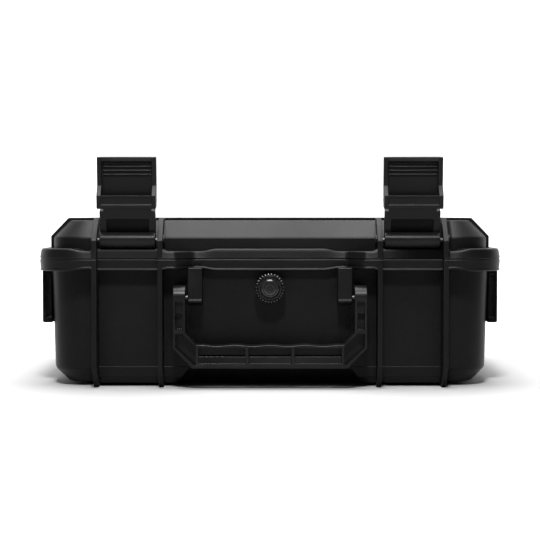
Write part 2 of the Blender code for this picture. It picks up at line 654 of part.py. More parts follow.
# ---------------------------------------------------------------- handle
def make_handle():
    """U-shaped handle with chamfered corners and moulded pockets on both faces."""
    front = HANDLE_PIVOT_Y - HANDLE_DEPTH / 2
    back = HANDLE_PIVOT_Y + HANDLE_DEPTH / 2
    outer, inner = HANDLE_HALF_X, HANDLE_HALF_X - HANDLE_ARM
    low, grip_top = HANDLE_BOTTOM_Z, HANDLE_BOTTOM_Z + HANDLE_GRIP
    split_z = 44 * mm
    chamfer = 14 * mm
    outline = [(-outer, split_z), (-outer, low + chamfer), (-outer + chamfer, low), (outer - chamfer, low),
               (outer, low + chamfer), (outer, split_z), (inner, split_z), (inner, grip_top + 8.5 * mm),
               (inner - 7.5 * mm, grip_top), (7.5 * mm - inner, grip_top), (-inner, grip_top + 8.5 * mm),
               (-inner, split_z)]
    handle = plate("carry_handle", "xz", outline, front, back, parts)
    end = arc((HANDLE_PIVOT_Y, HANDLE_PIVOT_Z), HANDLE_DEPTH / 2, 0, 180, 10)
    arm = [(front, split_z - 1 * mm), (back, split_z - 1 * mm)] + end
    arm_sides = ((-outer, -inner), (inner, outer))
    for index, (x0, x1) in enumerate(arm_sides):
        join(handle, plate(f"handle_arm_{index}", "yz", arm, x0, x1))

    pocket = 5.5 * mm
    rail = 2 * mm
    boxes = []
    for x0, x1 in ((-50 * mm, -17 * mm), (-15 * mm, 15 * mm), (17 * mm, 50 * mm)):
        boxes.append((x0, x1, low + rail + 1 * mm, grip_top - rail))
    for x0, x1 in arm_sides:
        boxes.append((x0 + rail, x1 - rail, 42 * mm, 54 * mm))
    for index, (x0, x1, z0, z1) in enumerate(boxes):
        cut(handle, box(f"handle_pocket_front_{index}", (x0, front - 1 * mm, z0), (x1, front + pocket, z1)))
        cut(handle, box(f"handle_pocket_back_{index}", (x0, back - pocket, z0), (x1, back + 1 * mm, z1)))
    for side in (-1, 1):
        start = min(side * (inner - 1 * mm), side * (inner + 6 * mm))
        hole = rod(f"handle_bore_{side}", "x", HANDLE_BORE_R, (start, HANDLE_PIVOT_Y, HANDLE_PIVOT_Z), 7 * mm)
        cut(handle, hole)

    at = (0, HANDLE_PIVOT_Y, HANDLE_PIVOT_Z)
    empty = pivot("handle_pivot", at)
    for tool in [step.object for step in handle.modifiers]:
        move_origin(tool, at)
        place(tool, empty)
    move_origin(handle, at)
    place(finish(handle, SHELL_PLASTIC), empty)

    reach = 5.5 * mm
    for side, label in ((-1, "left"), (1, "right")):
        low_x, high_x = sorted((side * (POST_X[1] - reach), side * (inner + reach)))
        pin = rod(f"handle_pin_{label}", "x", HANDLE_PIN_R, (low_x, HANDLE_PIVOT_Y, HANDLE_PIVOT_Z),
                  high_x - low_x, parts, 12)
        finish(pin, STEEL)


# ---------------------------------------------------------------- air valve
def ring(name, axis_y, inner, outer, length, collection, steps=20):
    """A washer or bush around the valve's axis, from axis_y towards the inside."""
    made = rod(name, "y", outer, (0, axis_y, VALVE_Z), length, collection, steps)
    hole = rod(f"{name}_hole", "y", inner, (0, axis_y - 1 * mm, VALVE_Z), length + 2 * mm, steps=ROUND_STEPS)
    cut(made, hole)
    return made


def make_valve():
    wall_out, wall_in = VALVE_WALL_Y
    seat_y = wall_out - 2.3 * mm
    seat = rod("valve_seat", "y", VALVE_SEAT_R, (0, seat_y, VALVE_Z), 2 * mm, parts, 24)
    join(seat, rod("valve_seat_stem", "y", VALVE_STEM_R, (0, seat_y + 1 * mm, VALVE_Z), 10 * mm))
    cut(seat, rod("valve_seat_bore", "y", VALVE_BORE_R, (0, seat_y - 1 * mm, VALVE_Z), 16 * mm))
    finish(seat, SHELL_PLASTIC)

    washer = ring("valve_washer", wall_in, VALVE_STEM_R + GAP, 8.5 * mm, 1 * mm, parts)
    finish(washer, RUBBER)
    nut = ring("valve_nut", wall_in + 1.3 * mm, VALVE_STEM_R + GAP, 8.2 * mm, 3.4 * mm, parts, 6)
    finish(nut, SHELL_PLASTIC)

    o_ring_y = seat_y - GAP - O_RING_R
    bm = bmesh.new()
    profile = bmesh.ops.create_circle(bm, segments=10, radius=O_RING_R)["verts"]
    bmesh.ops.rotate(bm, matrix=Matrix.Rotation(math.pi / 2, 3, "Y"), verts=profile)
    bmesh.ops.translate(bm, vec=(0, o_ring_y, VALVE_Z + 6.5 * mm), verts=profile)
    geometry = bm.verts[:] + bm.edges[:]
    bmesh.ops.spin(bm, geom=geometry, angle=2 * math.pi, steps=20, use_merge=True, axis=(0, 1, 0),
                   cent=(0, o_ring_y, VALVE_Z))
    bmesh.ops.remove_doubles(bm, verts=bm.verts, dist=0.00001)
    finish(put(bm, "valve_o_ring", parts), RUBBER)

    back_y = o_ring_y - O_RING_R - GAP
    teeth = []
    for i in range(KNOB_TEETH):
        root = KNOB_R - 1 * mm
        for turn, radius in ((-0.32, root), (-0.16, KNOB_R), (0.16, KNOB_R), (0.32, root)):
            angle = 2 * math.pi * (i + turn) / KNOB_TEETH
            teeth.append((radius * math.cos(angle), VALVE_Z + radius * math.sin(angle)))
    knob = plate("valve_knob", "xz", teeth, back_y - KNOB_DEPTH, back_y, parts)
    face_r, face_step = KNOB_R - 3 * mm, 1.5 * mm
    face_y = back_y - KNOB_DEPTH - face_step
    join(knob, rod("valve_knob_face", "y", face_r, (0, face_y, VALVE_Z), 3 * mm, steps=20))
    length = seat_y + 8 * mm - (back_y - 1 * mm)
    screw = rod("valve_knob_screw", "y", VALVE_SCREW_R, (0, back_y - 1 * mm, VALVE_Z), length, steps=12)
    join(knob, screw)
    at = (0, back_y, VALVE_Z)
    empty = pivot("valve_pivot", at)
    for tool in [step.object for step in knob.modifiers]:
        move_origin(tool, at)
        place(tool, empty)
    move_origin(knob, at)
    place(finish(knob, SHELL_PLASTIC), empty)


# ---------------------------------------------------------------- trim
def make_strap_loops():
    """A closed loop on each side wall, open front to back."""
    (x0, x1), (z0, z1) = LOOP_X, LOOP_Z
    outer = [(x0, z0), (x1, z0), (x1, z1), (x0, z1)]
    for side, label in ((-1, "left"), (1, "right")):
        outline = outer if side == 1 else mirrored(outer)
        made = plate(f"strap_loop_{label}", "xz", outline, *LOOP_Y, parts)
        low, high = sorted((side * (x0 + LOOP_WALL[0]), side * (x1 - LOOP_WALL[1])))
        hole = box(f"strap_loop_gap_{label}", (low, LOOP_Y[0] - 1 * mm, z0 + 3 * mm),
                   (high, LOOP_Y[1] + 1 * mm, z1 - 3 * mm))
        cut(made, hole)
        finish(made, SHELL_PLASTIC)


def make_badge():
    """A glossy plate with a hexagonal ring on it."""
    bottom = LID_PLATE_Z + GAP
    plate_top = bottom + BADGE_THICK
    outline = rounded_rectangle(*BADGE_HALF, 6 * mm)
    badge = loft("badge_plate", [(outline, bottom), (outline, plate_top)], parts)
    finish(badge, BADGE_GLOSS)
    low = plate_top + 0.1 * mm
    outside, inside = (arc((0, 0), radius, 0, 300, 5) for radius in EMBLEM_R)
    emblem = loft("badge_emblem", [(outside, low), (outside, low + EMBLEM_THICK)], parts)
    cut(emblem, loft("badge_emblem_hole", [(inside, low - 1 * mm), (inside, low + 2 * mm)]))
    finish(emblem, STEEL)
    for made in (badge, emblem):
        hang_on_lid(made)


LID_PIVOT = pivot("lid_pivot", (0, HINGE_Y, PARTING_Z))
make_base()
make_lid()
make_seal()
make_foam()
make_hinge_pins()
make_latches()
make_handle()
make_valve()
make_strap_loops()
make_badge()
bpy.context.view_layer.update()
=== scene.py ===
import json
import math

import bmesh
import bpy
from mathutils import Matrix, Vector


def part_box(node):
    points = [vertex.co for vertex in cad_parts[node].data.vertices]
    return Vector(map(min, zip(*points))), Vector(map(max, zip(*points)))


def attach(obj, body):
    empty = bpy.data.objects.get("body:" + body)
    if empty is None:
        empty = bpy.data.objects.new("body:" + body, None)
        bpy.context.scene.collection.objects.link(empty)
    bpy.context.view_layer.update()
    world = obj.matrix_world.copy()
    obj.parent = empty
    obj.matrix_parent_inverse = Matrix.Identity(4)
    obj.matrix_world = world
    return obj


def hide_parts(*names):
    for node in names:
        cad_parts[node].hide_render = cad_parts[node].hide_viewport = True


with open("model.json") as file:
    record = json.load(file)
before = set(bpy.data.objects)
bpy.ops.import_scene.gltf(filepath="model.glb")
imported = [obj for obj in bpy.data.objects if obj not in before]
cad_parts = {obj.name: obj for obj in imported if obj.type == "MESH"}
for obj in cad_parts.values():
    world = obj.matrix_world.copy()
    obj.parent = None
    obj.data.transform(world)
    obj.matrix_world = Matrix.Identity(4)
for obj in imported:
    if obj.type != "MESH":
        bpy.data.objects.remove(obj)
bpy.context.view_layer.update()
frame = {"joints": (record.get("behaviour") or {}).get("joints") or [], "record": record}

mm = 0.001
JOINTS = {joint["name"]: joint for joint in frame["joints"]}


def joint_point(name):
    return Vector(JOINTS[name]["pos_m"])


def corners(node):
    """The lowest and highest corner of a CAD node's box."""
    return [Vector(corner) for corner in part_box(node)]


# ------------------------------ sizes, from the frame where it has them
PARTING = joint_point("lid_hinge").z
HINGE_Y = joint_point("lid_hinge").y
BASE_LOW, BASE_HIGH = corners("base_shell")
LID_LOW, LID_HIGH = corners("lid_shell")
FLANGE_X = BASE_HIGH.x                  # half of the flange's width
FLANGE_Y = -BASE_LOW.y                  # half of the flange's depth
GAP = LID_LOW.z - PARTING + 4.2 * mm    # half of the gap between the shells
REAR_FIN_Y = BASE_HIGH.y
RIB_TOP = LID_HIGH.z
PLATE_TOP = RIB_TOP - 1.8 * mm
SHOULDER = PARTING + 15 * mm
WALL = 3 * mm
RUNNER = 2.5 * mm

FIN_X = (77 * mm, 123 * mm)
FIN_THICK = 3.5 * mm
BAY_X = abs(joint_point("left_link_close").x)
RECESS_Y = 127 * mm
LATCH_BAY_Y = 131 * mm
HINGE_BAY_Y = 133 * mm
FLANGE_CORNER = 35 * mm
LID_HALF = (156.3 * mm, 122.5 * mm)
LID_TOP_HALF = (144.5 * mm, 110 * mm)
LID_CORNER = 27 * mm
BASE_HALF = (157.5 * mm, 121 * mm)
BASE_FOOT_HALF = (155.5 * mm, 119.4 * mm)
BASE_CORNER = 26 * mm
BASE_CHAMFER = 10 * mm
RIB_PITCH = 32.25 * mm
RIB_THICK = 3 * mm
KNUCKLE_R = 4.2 * mm
PADLOCK_XY = (136 * mm, -131 * mm)
PADLOCK_R = 3.6 * mm
SEAL_HALF = (158.2 * mm, 122.9 * mm)
SEAL_CORNER = 28 * mm
LINK_TILT = math.radians(21)            # how far the open link leans forward
LEVER_TILT = math.radians(7)            # how far the lever on it leans
LEVER_AT = (4.1 * mm, 28.5 * mm)        # lever pin on an upright link, from the latch pivot
LATCH_BORE_R = 1.7 * mm                 # holes for the latch pivot pins, in lid and link
LATCH_BORE_LENGTH = 50 * mm             # long enough to pass through a latch
HANDLE_BORE_R = 1.9 * mm
VALVE_BORE_R = 5.3 * mm                 # hole for the valve seat's stem
HANDLE_ARM = 8.8 * mm                   # width of an arm, seen from the front
HANDLE_GRIP = 16.5 * mm                 # height of the grip
HANDLE_CHAMFER = 14 * mm

CORNER_STEPS = 14
ROUND_STEPS = 40

WORK = bpy.data.collections.new("protective_case_looks")
bpy.context.scene.collection.children.link(WORK)


# ------------------------------ mesh helpers
def new_object(name, bm):
    bmesh.ops.recalc_face_normals(bm, faces=bm.faces)
    mesh = bpy.data.meshes.new(name)
    bm.to_mesh(mesh)
    bm.free()
    made = bpy.data.objects.new(name, mesh)
    WORK.objects.link(made)
    return made


def bake_modifiers(obj):
    """Apply everything on the object's modifier stack."""
    bpy.context.view_layer.update()
    graph = bpy.context.evaluated_depsgraph_get()
    mesh = bpy.data.meshes.new_from_object(obj.evaluated_get(graph))
    old = obj.data
    obj.modifiers.clear()
    obj.data = mesh
    bpy.data.meshes.remove(old)
    return obj


def bevel(obj, width, segments=3, angle=28):
    step = obj.modifiers.new("edge_rounding", "BEVEL")
    step.width = width
    step.segments = segments
    step.limit_method = "ANGLE"
    step.angle_limit = math.radians(angle)
    return bake_modifiers(obj)


def combine(target, operation, tools):
    for tool in tools:
        step = target.modifiers.new("combine", "BOOLEAN")
        step.operation = operation
        step.solver = "EXACT"
        step.object = tool
        bake_modifiers(target)
        bpy.data.objects.remove(tool, do_unlink=True)
    return target


def union(target, *tools):
    return combine(target, "UNION", tools)


def difference(target, *tools):
    return combine(target, "DIFFERENCE", tools)


def arc(centre, radius, start, end, steps):
    """Points on an arc, angles in degrees."""
    points = []
    for i in range(steps + 1):
        angle = math.radians(start + (end - start) * i / steps)
        points.append((centre[0] + radius * math.cos(angle), centre[1] + radius * math.sin(angle)))
    return points


def mirrored(outline):
    return [(-a, b) for a, b in reversed(outline)]


def rounded_rectangle(half_x, half_y, radius, steps=CORNER_STEPS):
    points = []
    for start, sign_x, sign_y in ((0, 1, 1), (90, -1, 1), (180, -1, -1), (270, 1, -1)):
        centre = (sign_x * (half_x - radius), sign_y * (half_y - radius))
        points += arc(centre, radius, start, start + 90, steps)
    return points


def filleted(points, radius, steps=4):
    """The outline with its corners rounded to the given radius, or less beside short edges."""
    made = []
    count = len(points)
    for i in range(count):
        here = Vector(points[i])
        before = Vector(points[i - 1]) - here
        after = Vector(points[(i + 1) % count]) - here
        half = before.angle(after) / 2
        if half > math.radians(82):
            made.append(tuple(here))
            continue
        reach = min(radius / math.tan(half), 0.45 * before.length, 0.45 * after.length)
        start, end = here + before.normalized() * reach, here + after.normalized() * reach
        centre = here + (before.normalized() + after.normalized()).normalized() * reach / math.cos(half)
        first, last = start - centre, end - centre
        for j in range(steps + 1):
            way = first.lerp(last, j / steps) if 0 < j < steps else (first, last)[j > 0]
            made.append(tuple(centre + way.normalized() * first.length))
    return made


def inward(points, distance):
    """The outline moved along its own normals; a positive distance makes it smaller."""
    made = []
    count = len(points)
    area = sum(points[i - 1][0] * points[i][1] - points[i][0] * points[i - 1][1] for i in range(count))
    sign = 1 if area > 0 else -1
    for i in range(count):
        here = Vector(points[i])
        a = (here - Vector(points[i - 1])).normalized()
        b = (Vector(points[(i + 1) % count]) - here).normalized()
        normal = Vector((-(a + b).y, (a + b).x)).normalized() * sign
        made.append(tuple(here + normal * (distance / max(0.5, normal.dot(Vector((-a.y, a.x)) * sign)))))
    return made


def loft_rings(name, rings, closed=False):
    """A solid through rings of 3D points; closed makes a torus-like band with no end caps."""
    bm = bmesh.new()
    made = [[bm.verts.new(point) for point in ring] for ring in rings]
    pairs = list(zip(made, made[1:]))
    if closed:
        pairs.append((made[-1], made[0]))
    for low, high in pairs:
        for i in range(len(low)):
            j = (i + 1) % len(low)
            bm.faces.new((low[i], low[j], high[j], high[i]))
    if not closed:
        bm.faces.new(made[0])
        bm.faces.new(made[-1])
    return new_object(name, bm)


def loft(name, sections):
    return loft_rings(name, [[(x, y, z) for x, y in outline] for outline, z in sections])


def slab(name, plane, outline, low, high, rounding=0.0, segments=2):
    """A flat outline with thickness along the plane's normal and rounded edges."""
    to_3d = {
        "xz": lambda a, b, c: (a, c, b),
        "yz": lambda a, b, c: (c, a, b),
        "xy": lambda a, b, c: (a, b, c),
    }[plane]
    made = loft_rings(name, [[to_3d(a, b, c) for a, b in outline] for c in (low, high)])
    return bevel(made, rounding, segments) if rounding else made


def block(name, low, high, rounding=0.0, segments=2):
    outline = [(low[0], low[1]), (high[0], low[1]), (high[0], high[1]), (low[0], high[1])]
    return slab(name, "xy", outline, low[2], high[2], rounding, segments)


AXES = {
    "x": Matrix.Rotation(math.pi / 2, 4, "Y"),
    "y": Matrix.Rotation(-math.pi / 2, 4, "X"),
    "z": Matrix.Identity(4),
}


def turned(name, axis, start, profile, steps=ROUND_STEPS):
    """A solid of revolution: profile is (distance along the axis, radius), end to end."""
    place = Matrix.Translation(start) @ AXES[axis]
    rings = []
    for along, radius in profile:
        ring = []
        for i in range(steps):
            angle = 2 * math.pi * (i + 0.5) / steps
            ring.append(place @ Vector((radius * math.cos(angle), radius * math.sin(angle), along)))
        rings.append(ring)
    return loft_rings(name, rings)


def rod(name, axis, start, length, radius, rounding=0.0, steps=ROUND_STEPS):
    """A cylinder, with rounded ends if a rounding is given."""
    if not rounding:
        return turned(name, axis, start, [(0, radius), (length, radius)], steps)
    ends = []
    for i in range(4):
        angle = math.pi / 2 * i / 3
        along = rounding * (1 - math.cos(math.pi / 2 - angle))
        ends.append((along, radius - rounding * (1 - math.sin(angle))))
    ends[0] = (0, radius - rounding)
    profile = ends + [(length - along, r) for along, r in reversed(ends)]
    return turned(name, axis, start, profile, steps)


def steady_normals(mesh, sharp):
    """Smooth across faces that turn by less than sharp degrees, with the largest of them leading."""
    around = {}
    spot_size = 0.01 * mm
    spots = [tuple(round(c / spot_size) for c in vertex.co) for vertex in mesh.vertices]
    for face in mesh.polygons:
        for vertex in face.vertices:
            around.setdefault(spots[vertex], []).append(face)
    limit = math.cos(math.radians(sharp))
    normals = []
    for face in mesh.polygons:
        own = face.normal.copy()
        for vertex in face.vertices:
            total = own * 1e-6
            for other in around[spots[vertex]]:
                if other.normal.dot(own) > limit:
                    total = total + other.normal * (other.area / mm ** 2) ** 2
            normals.append(total.normalized())
    mesh.normals_split_custom_set(normals)


def finish_piece(obj, material, body, nodes, matrix=None, sharp=32, name=None):
    """Shade the piece, give it its material, and hang it on its body in place of the CAD node."""
    if matrix is not None:
        obj.data.transform(matrix)
    obj.data.materials.clear()
    obj.data.materials.append(material)
    obj.data.shade_smooth()
    steady_normals(obj.data, sharp)
    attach(obj, body)
    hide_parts(*nodes)
    if name:
        obj.name = name
    return obj


# ------------------------------ materials
class Nodes:
    """A small builder for node materials."""

    def __init__(self, name):
        self.material = bpy.data.materials.new(name)
        self.material.use_nodes = True
        self.tree = self.material.node_tree
        self.shader = self.tree.nodes["Principled BSDF"]
        self.position = self.add("ShaderNodeTexCoord").outputs["Object"]

    def add(self, kind, **values):
        node = self.tree.nodes.new(kind)
        for key, value in values.items():
            setattr(node, key, value)
        return node

    def link(self, source, target):
        self.tree.links.new(source, target)

    def noise(self, scale, detail=3.0, roughness=0.5):
        node = self.add("ShaderNodeTexNoise")
        node.inputs["Scale"].default_value = scale
        node.inputs["Detail"].default_value = detail
        node.inputs["Roughness"].default_value = roughness
        self.link(self.position, node.inputs["Vector"])
        return node.outputs["Fac"]

    def cells(self, scale):
        node = self.add("ShaderNodeTexVoronoi", feature="F1")
        node.inputs["Scale"].default_value = scale
        self.link(self.position, node.inputs["Vector"])
        return node.outputs["Distance"]

    def ramp(self, source, low, high, to_low=0.0, to_high=1.0):
        node = self.add("ShaderNodeMapRange")
        for key, value in zip(("From Min", "From Max", "To Min", "To Max"), (low, high, to_low, to_high)):
            node.inputs[key].default_value = value
        self.link(source, node.inputs["Value"])
        return node.outputs["Result"]

    def maths(self, operation, a, b):
        node = self.add("ShaderNodeMath", operation=operation)
        for socket, value in zip(node.inputs, (a, b)):
            if isinstance(value, (int, float)):
                socket.default_value = value
            else:
                self.link(value, socket)
        return node.outputs[0]

    def mix_color(self, factor, a, b):
        node = self.add("ShaderNodeMix", data_type="RGBA")
        self.link(factor, node.inputs["Factor"])
        for key, value in (("A", a), ("B", b)):
            socket = [s for s in node.inputs if s.name == key and s.type == "RGBA"][0]
            if isinstance(value, tuple):
                socket.default_value = (*value, 1.0)
            else:
                self.link(value, socket)
        return [s for s in node.outputs if s.type == "RGBA"][0]

    def bump(self, height, strength, distance, onto=None):
        node = self.add("ShaderNodeBump")
        node.inputs["Strength"].default_value = strength
        node.inputs["Distance"].default_value = distance
        self.link(height, node.inputs["Height"])
        if onto is not None:
            self.link(onto, node.inputs["Normal"])
        return node.outputs["Normal"]

    def put(self, socket, source):
        if isinstance(source, tuple):
            self.shader.inputs[socket].default_value = (*source, 1.0)
        elif isinstance(source, (int, float)):
            self.shader.inputs[socket].default_value = source
        else:
            self.link(source, self.shader.inputs[socket])

    def shade(self, source, low, high, dark, light):
        """Base colour that goes from dark to light as the source goes from low to high."""
        self.put("Base Color", self.mix_color(self.ramp(source, low, high), dark, light))


def moulded_plastic(name, color, roughness, grain=0.35, specular=0.14):
    """Black ABS with a fine spark-eroded grain, faint flow marks, dust and slightly rubbed edges."""
    grain_size = 0.8 * mm
    wear = 0.5
    look = Nodes(name)
    clouds = look.noise(14, 4, 0.6)
    dust = look.noise(420, 2, 0.6)
    edges = look.ramp(look.add("ShaderNodeNewGeometry").outputs["Pointiness"], 0.53, 0.60)
    rubbed = look.maths("MULTIPLY", edges, look.ramp(look.noise(90, 3), 0.35, 0.7))
    light = tuple(c * 1.5 + 0.001 for c in color)
    pale = tuple(c * 2.6 + 0.008 for c in color)
    tone = look.mix_color(look.ramp(clouds, 0.3, 0.75), color, light)
    tone = look.mix_color(look.ramp(dust, 0.66, 0.80, 0.0, 0.35), tone, pale)
    tone = look.mix_color(look.maths("MULTIPLY", rubbed, wear), tone, pale)
    look.put("Base Color", tone)
    uneven = look.ramp(clouds, 0.3, 0.7, roughness - 0.05, roughness + 0.06)
    look.put("Roughness", look.maths("SUBTRACT", uneven, look.maths("MULTIPLY", rubbed, 0.10)))
    pits = look.cells(1 / grain_size)
    lumps = look.maths("MULTIPLY", look.noise(1.4 / grain_size, 4), 0.8)
    look.put("Normal", look.bump(look.maths("ADD", pits, lumps), grain, 0.12 * mm))
    look.put("Specular IOR Level", specular)
    return look.material


def painted_shade_steel(name):
    look = Nodes(name)
    streaks = look.noise(900, 2)
    # painted shade: the steel is coloured near-black, so the pins look shaded in the gaps beside the
    # barrels and fins instead of bright as bare steel
    look.shade(streaks, 0.3, 0.7, (0.06, 0.06, 0.06), (0.10, 0.10, 0.10))
    look.put("Metallic", 1.0)
    look.put("Roughness", look.ramp(streaks, 0.3, 0.7, 0.36, 0.48))
    look.put("Normal", look.bump(streaks, 0.15, 0.05 * mm))
    return look.material


def soft_rubber(name):
    look = Nodes(name)
    bloom = look.noise(60, 4, 0.6)
    look.shade(bloom, 0.35, 0.75, (0.012, 0.012, 0.012), (0.028, 0.028, 0.027))
    look.put("Roughness", look.ramp(bloom, 0.3, 0.7, 0.6, 0.78))
    look.put("Normal", look.bump(look.noise(2200, 2), 0.25, 0.05 * mm))
    return look.material


def cut_foam(name):
    """Closed-cell foam: a fine open-pored skin with painted shade in the pores, a little sheen and slow
    tone changes.
    """
    look = Nodes(name)
    pores_with_painted_shade = look.cells(1 / (0.9 * mm))
    tone = look.noise(35, 3, 0.6)
    base = look.mix_color(look.ramp(tone, 0.3, 0.7), (0.024, 0.024, 0.026), (0.040, 0.040, 0.043))
    # painted shade: the pore hollows are coloured darker than the skin around them
    look.put("Base Color", look.mix_color(look.ramp(pores_with_painted_shade, 0.0, 0.35), (0.012, 0.012, 0.013), base))
    look.put("Roughness", 0.95)
    look.put("Sheen Weight", 0.15)
    look.put("Sheen Roughness", 0.5)
    coarse = look.bump(look.noise(160, 3), 0.25, 0.6 * mm)
    look.put("Normal", look.bump(pores_with_painted_shade, 0.6, 0.25 * mm, coarse))
    return look.material


def gloss_badge(name):
    look = Nodes(name)
    haze = look.noise(50, 4, 0.6)
    look.shade(haze, 0.3, 0.8, (0.004, 0.004, 0.005), (0.009, 0.009, 0.010))
    look.put("Roughness", look.ramp(haze, 0.3, 0.8, 0.05, 0.12))
    look.put("Coat Weight", 0.6)
    look.put("Coat Roughness", 0.04)
    look.put("Normal", look.bump(look.noise(1500, 2), 0.03, 0.02 * mm))
    return look.material


def silver_emblem(name):
    look = Nodes(name)
    brushed = look.noise(1400, 2)
    look.shade(brushed, 0.3, 0.7, (0.62, 0.63, 0.65), (0.82, 0.83, 0.85))
    look.put("Metallic", 1.0)
    look.put("Roughness", look.ramp(brushed, 0.3, 0.7, 0.18, 0.30))
    look.put("Normal", look.bump(brushed, 0.1, 0.03 * mm))
    return look.material


SHELL = moulded_plastic("shell_plastic_look", (0.0026, 0.0026, 0.0029), 0.42)
# the latches' and handle's plastic is coloured lighter than the shell's: partly a lighter plastic, partly
# painted light for faces that stand out of the rim's shadow
HARDWARE = moulded_plastic("latch_plastic_look", (0.0046, 0.0046, 0.0048), 0.32, grain=0.18, specular=0.15)
LOOP = moulded_plastic("loop_plastic_look", (0.0022, 0.0022, 0.0023), 0.6, grain=0.18, specular=0.03)
KNOB = moulded_plastic("knob_plastic_look", (0.006, 0.006, 0.0065), 0.17, grain=0.06, specular=0.6)
STEEL_IN_PAINTED_SHADE = painted_shade_steel("pin_steel_painted_shade_look")
RUBBER = soft_rubber("seal_rubber_look")
FOAM = cut_foam("foam_look")
GLOSS = gloss_badge("badge_gloss_look")
SILVER = silver_emblem("emblem_metal_look")


# ------------------------------ flange
def flange_outline():
    """Plan outline of the rim, with its recesses at the handle, latches and hinges."""
    bay = (FIN_X[0] + FIN_THICK / 2 - 0.5 * mm, FIN_X[1] - FIN_THICK / 2 + 0.5 * mm)

    def whole(bay_y):
        """Half of the outline, left to right, as (x, distance from the middle)."""
        slope = [(30 * mm, RECESS_Y), (54 * mm, RECESS_Y), (66 * mm, FLANGE_Y), (74 * mm, FLANGE_Y)]
        slope = [(x, y) for x, y in filleted(slope, 5 * mm) if 45 * mm < x < 69 * mm]
        line = [(x * mm, RECESS_Y) for x in (12, 25, 38, 41, 44, 47, 50)] + slope
        line += [(72 * mm, FLANGE_Y), (bay[0], FLANGE_Y), (bay[0], bay_y)]
        line += [(bay[1], bay_y), (bay[1], FLANGE_Y), (126 * mm, FLANGE_Y)]
        centre = (FLANGE_X - FLANGE_CORNER, FLANGE_Y - FLANGE_CORNER)
        line += arc(centre, FLANGE_CORNER, 90, 0, 2 * CORNER_STEPS) + [(FLANGE_X, 60 * mm)]
        return mirrored(line) + line

    rear = whole(HINGE_BAY_Y)
    front = [(x, -y) for x, y in reversed(whole(LATCH_BAY_Y))]
    return rear + front


def rim_height(x, y, thick, thin):
    """The rim is thicker at the corners, in the latch bays and in the middle than beside the fins."""
    if abs(y) < FLANGE_Y - FLANGE_CORNER or abs(y) < 90 * mm:
        return thick
    across = abs(x)
    spans = ((38 * mm, 49 * mm, 1, 0), (FIN_X[0] - 1 * mm, FIN_X[0] + 1 * mm, 0, 1),
             (FIN_X[1] - 1 * mm, FIN_X[1] + 1 * mm, 1, 0), (128 * mm, 143 * mm, 0, 1))
    blend = 1.0
    for start, end, before, after in spans:
        if across < start:
            blend = before
            break
        if across < end:
            t = (across - start) / (end - start)
            t = t * t * (3 - 2 * t)
            blend = before + (after - before) * t
            break
        blend = after
    return thin + (thick - thin) * blend


def rim_root(x, y):
    """The point inside the body that a point of the rim's outline runs to, so that its faces never fold."""
    reach = 10 * mm
    centre_x, centre_y = FLANGE_X - FLANGE_CORNER, FLANGE_Y - FLANGE_CORNER
    if abs(x) <= centre_x:
        spread = 0.0
        if FIN_X[0] - 3 * mm < abs(x) < FIN_X[1] + 1 * mm:
            spread = (2.9 * mm + 0.1 * (abs(y) - 135 * mm)) * math.copysign(1, abs(x) - BAY_X)
        return x + math.copysign(1, x) * spread, math.copysign(centre_y + reach, y)
    if abs(y) <= centre_y:
        return math.copysign(centre_x + reach, x), y
    out = Vector((abs(x) - centre_x, abs(y) - centre_y)).normalized() * reach
    return math.copysign(centre_x + out.x, x), math.copysign(centre_y + out.y, y)


def rim(name, levels, sign, thick, thin):
    """The rim as a loft: levels are (inset, height as a share of the rim's, extra height)."""
    outline = flange_outline()
    rings = []
    for inset, share, extra in levels:
        ring = []
        for (x, y), (u, v) in zip(outline, inward(outline, inset)):
            height = rim_height(x, y, thick, thin)
            ring.append((u, v, PARTING + sign * (height * share + extra)))
        rings.append(ring)
    inner = []
    for x, y in outline:
        height = rim_height(x, y, thick, thin) * levels[-1][1] + levels[-1][2]
        inner.append((*rim_root(x, y), PARTING + sign * height))
    rings.append(inner)
    rings.insert(0, [(*rim_root(x, y), PARTING + sign * GAP) for x, y in outline])
    return loft_rings(name, rings)


def knuckle(name, sign, centre_x, half):
    near = 0.3 * mm
    web_y = HINGE_BAY_Y - 2 * mm
    points = arc((HINGE_Y, 0), KNUCKLE_R, 75, -175, 24)
    points += [(HINGE_Y - KNUCKLE_R, near), (web_y, near), (web_y, 6.3 * mm)]
    outline = [(y, PARTING + sign * z) for y, z in points]
    return slab(name, "yz", outline, centre_x - half, centre_x + half, 0.4 * mm)


def hinge_bores():
    half = 21.2 * mm
    starts = [(side * BAY_X - half, HINGE_Y, PARTING) for side in (-1, 1)]
    return [rod("bore", "x", start, 2 * half, 1.9 * mm) for start in starts]


def padlock_holes(low, high):
    holes = []
    for side in (-1, 1):
        holes.append(rod("hole", "z", (side * PADLOCK_XY[0], PADLOCK_XY[1], low), high - low, PADLOCK_R))
    return holes


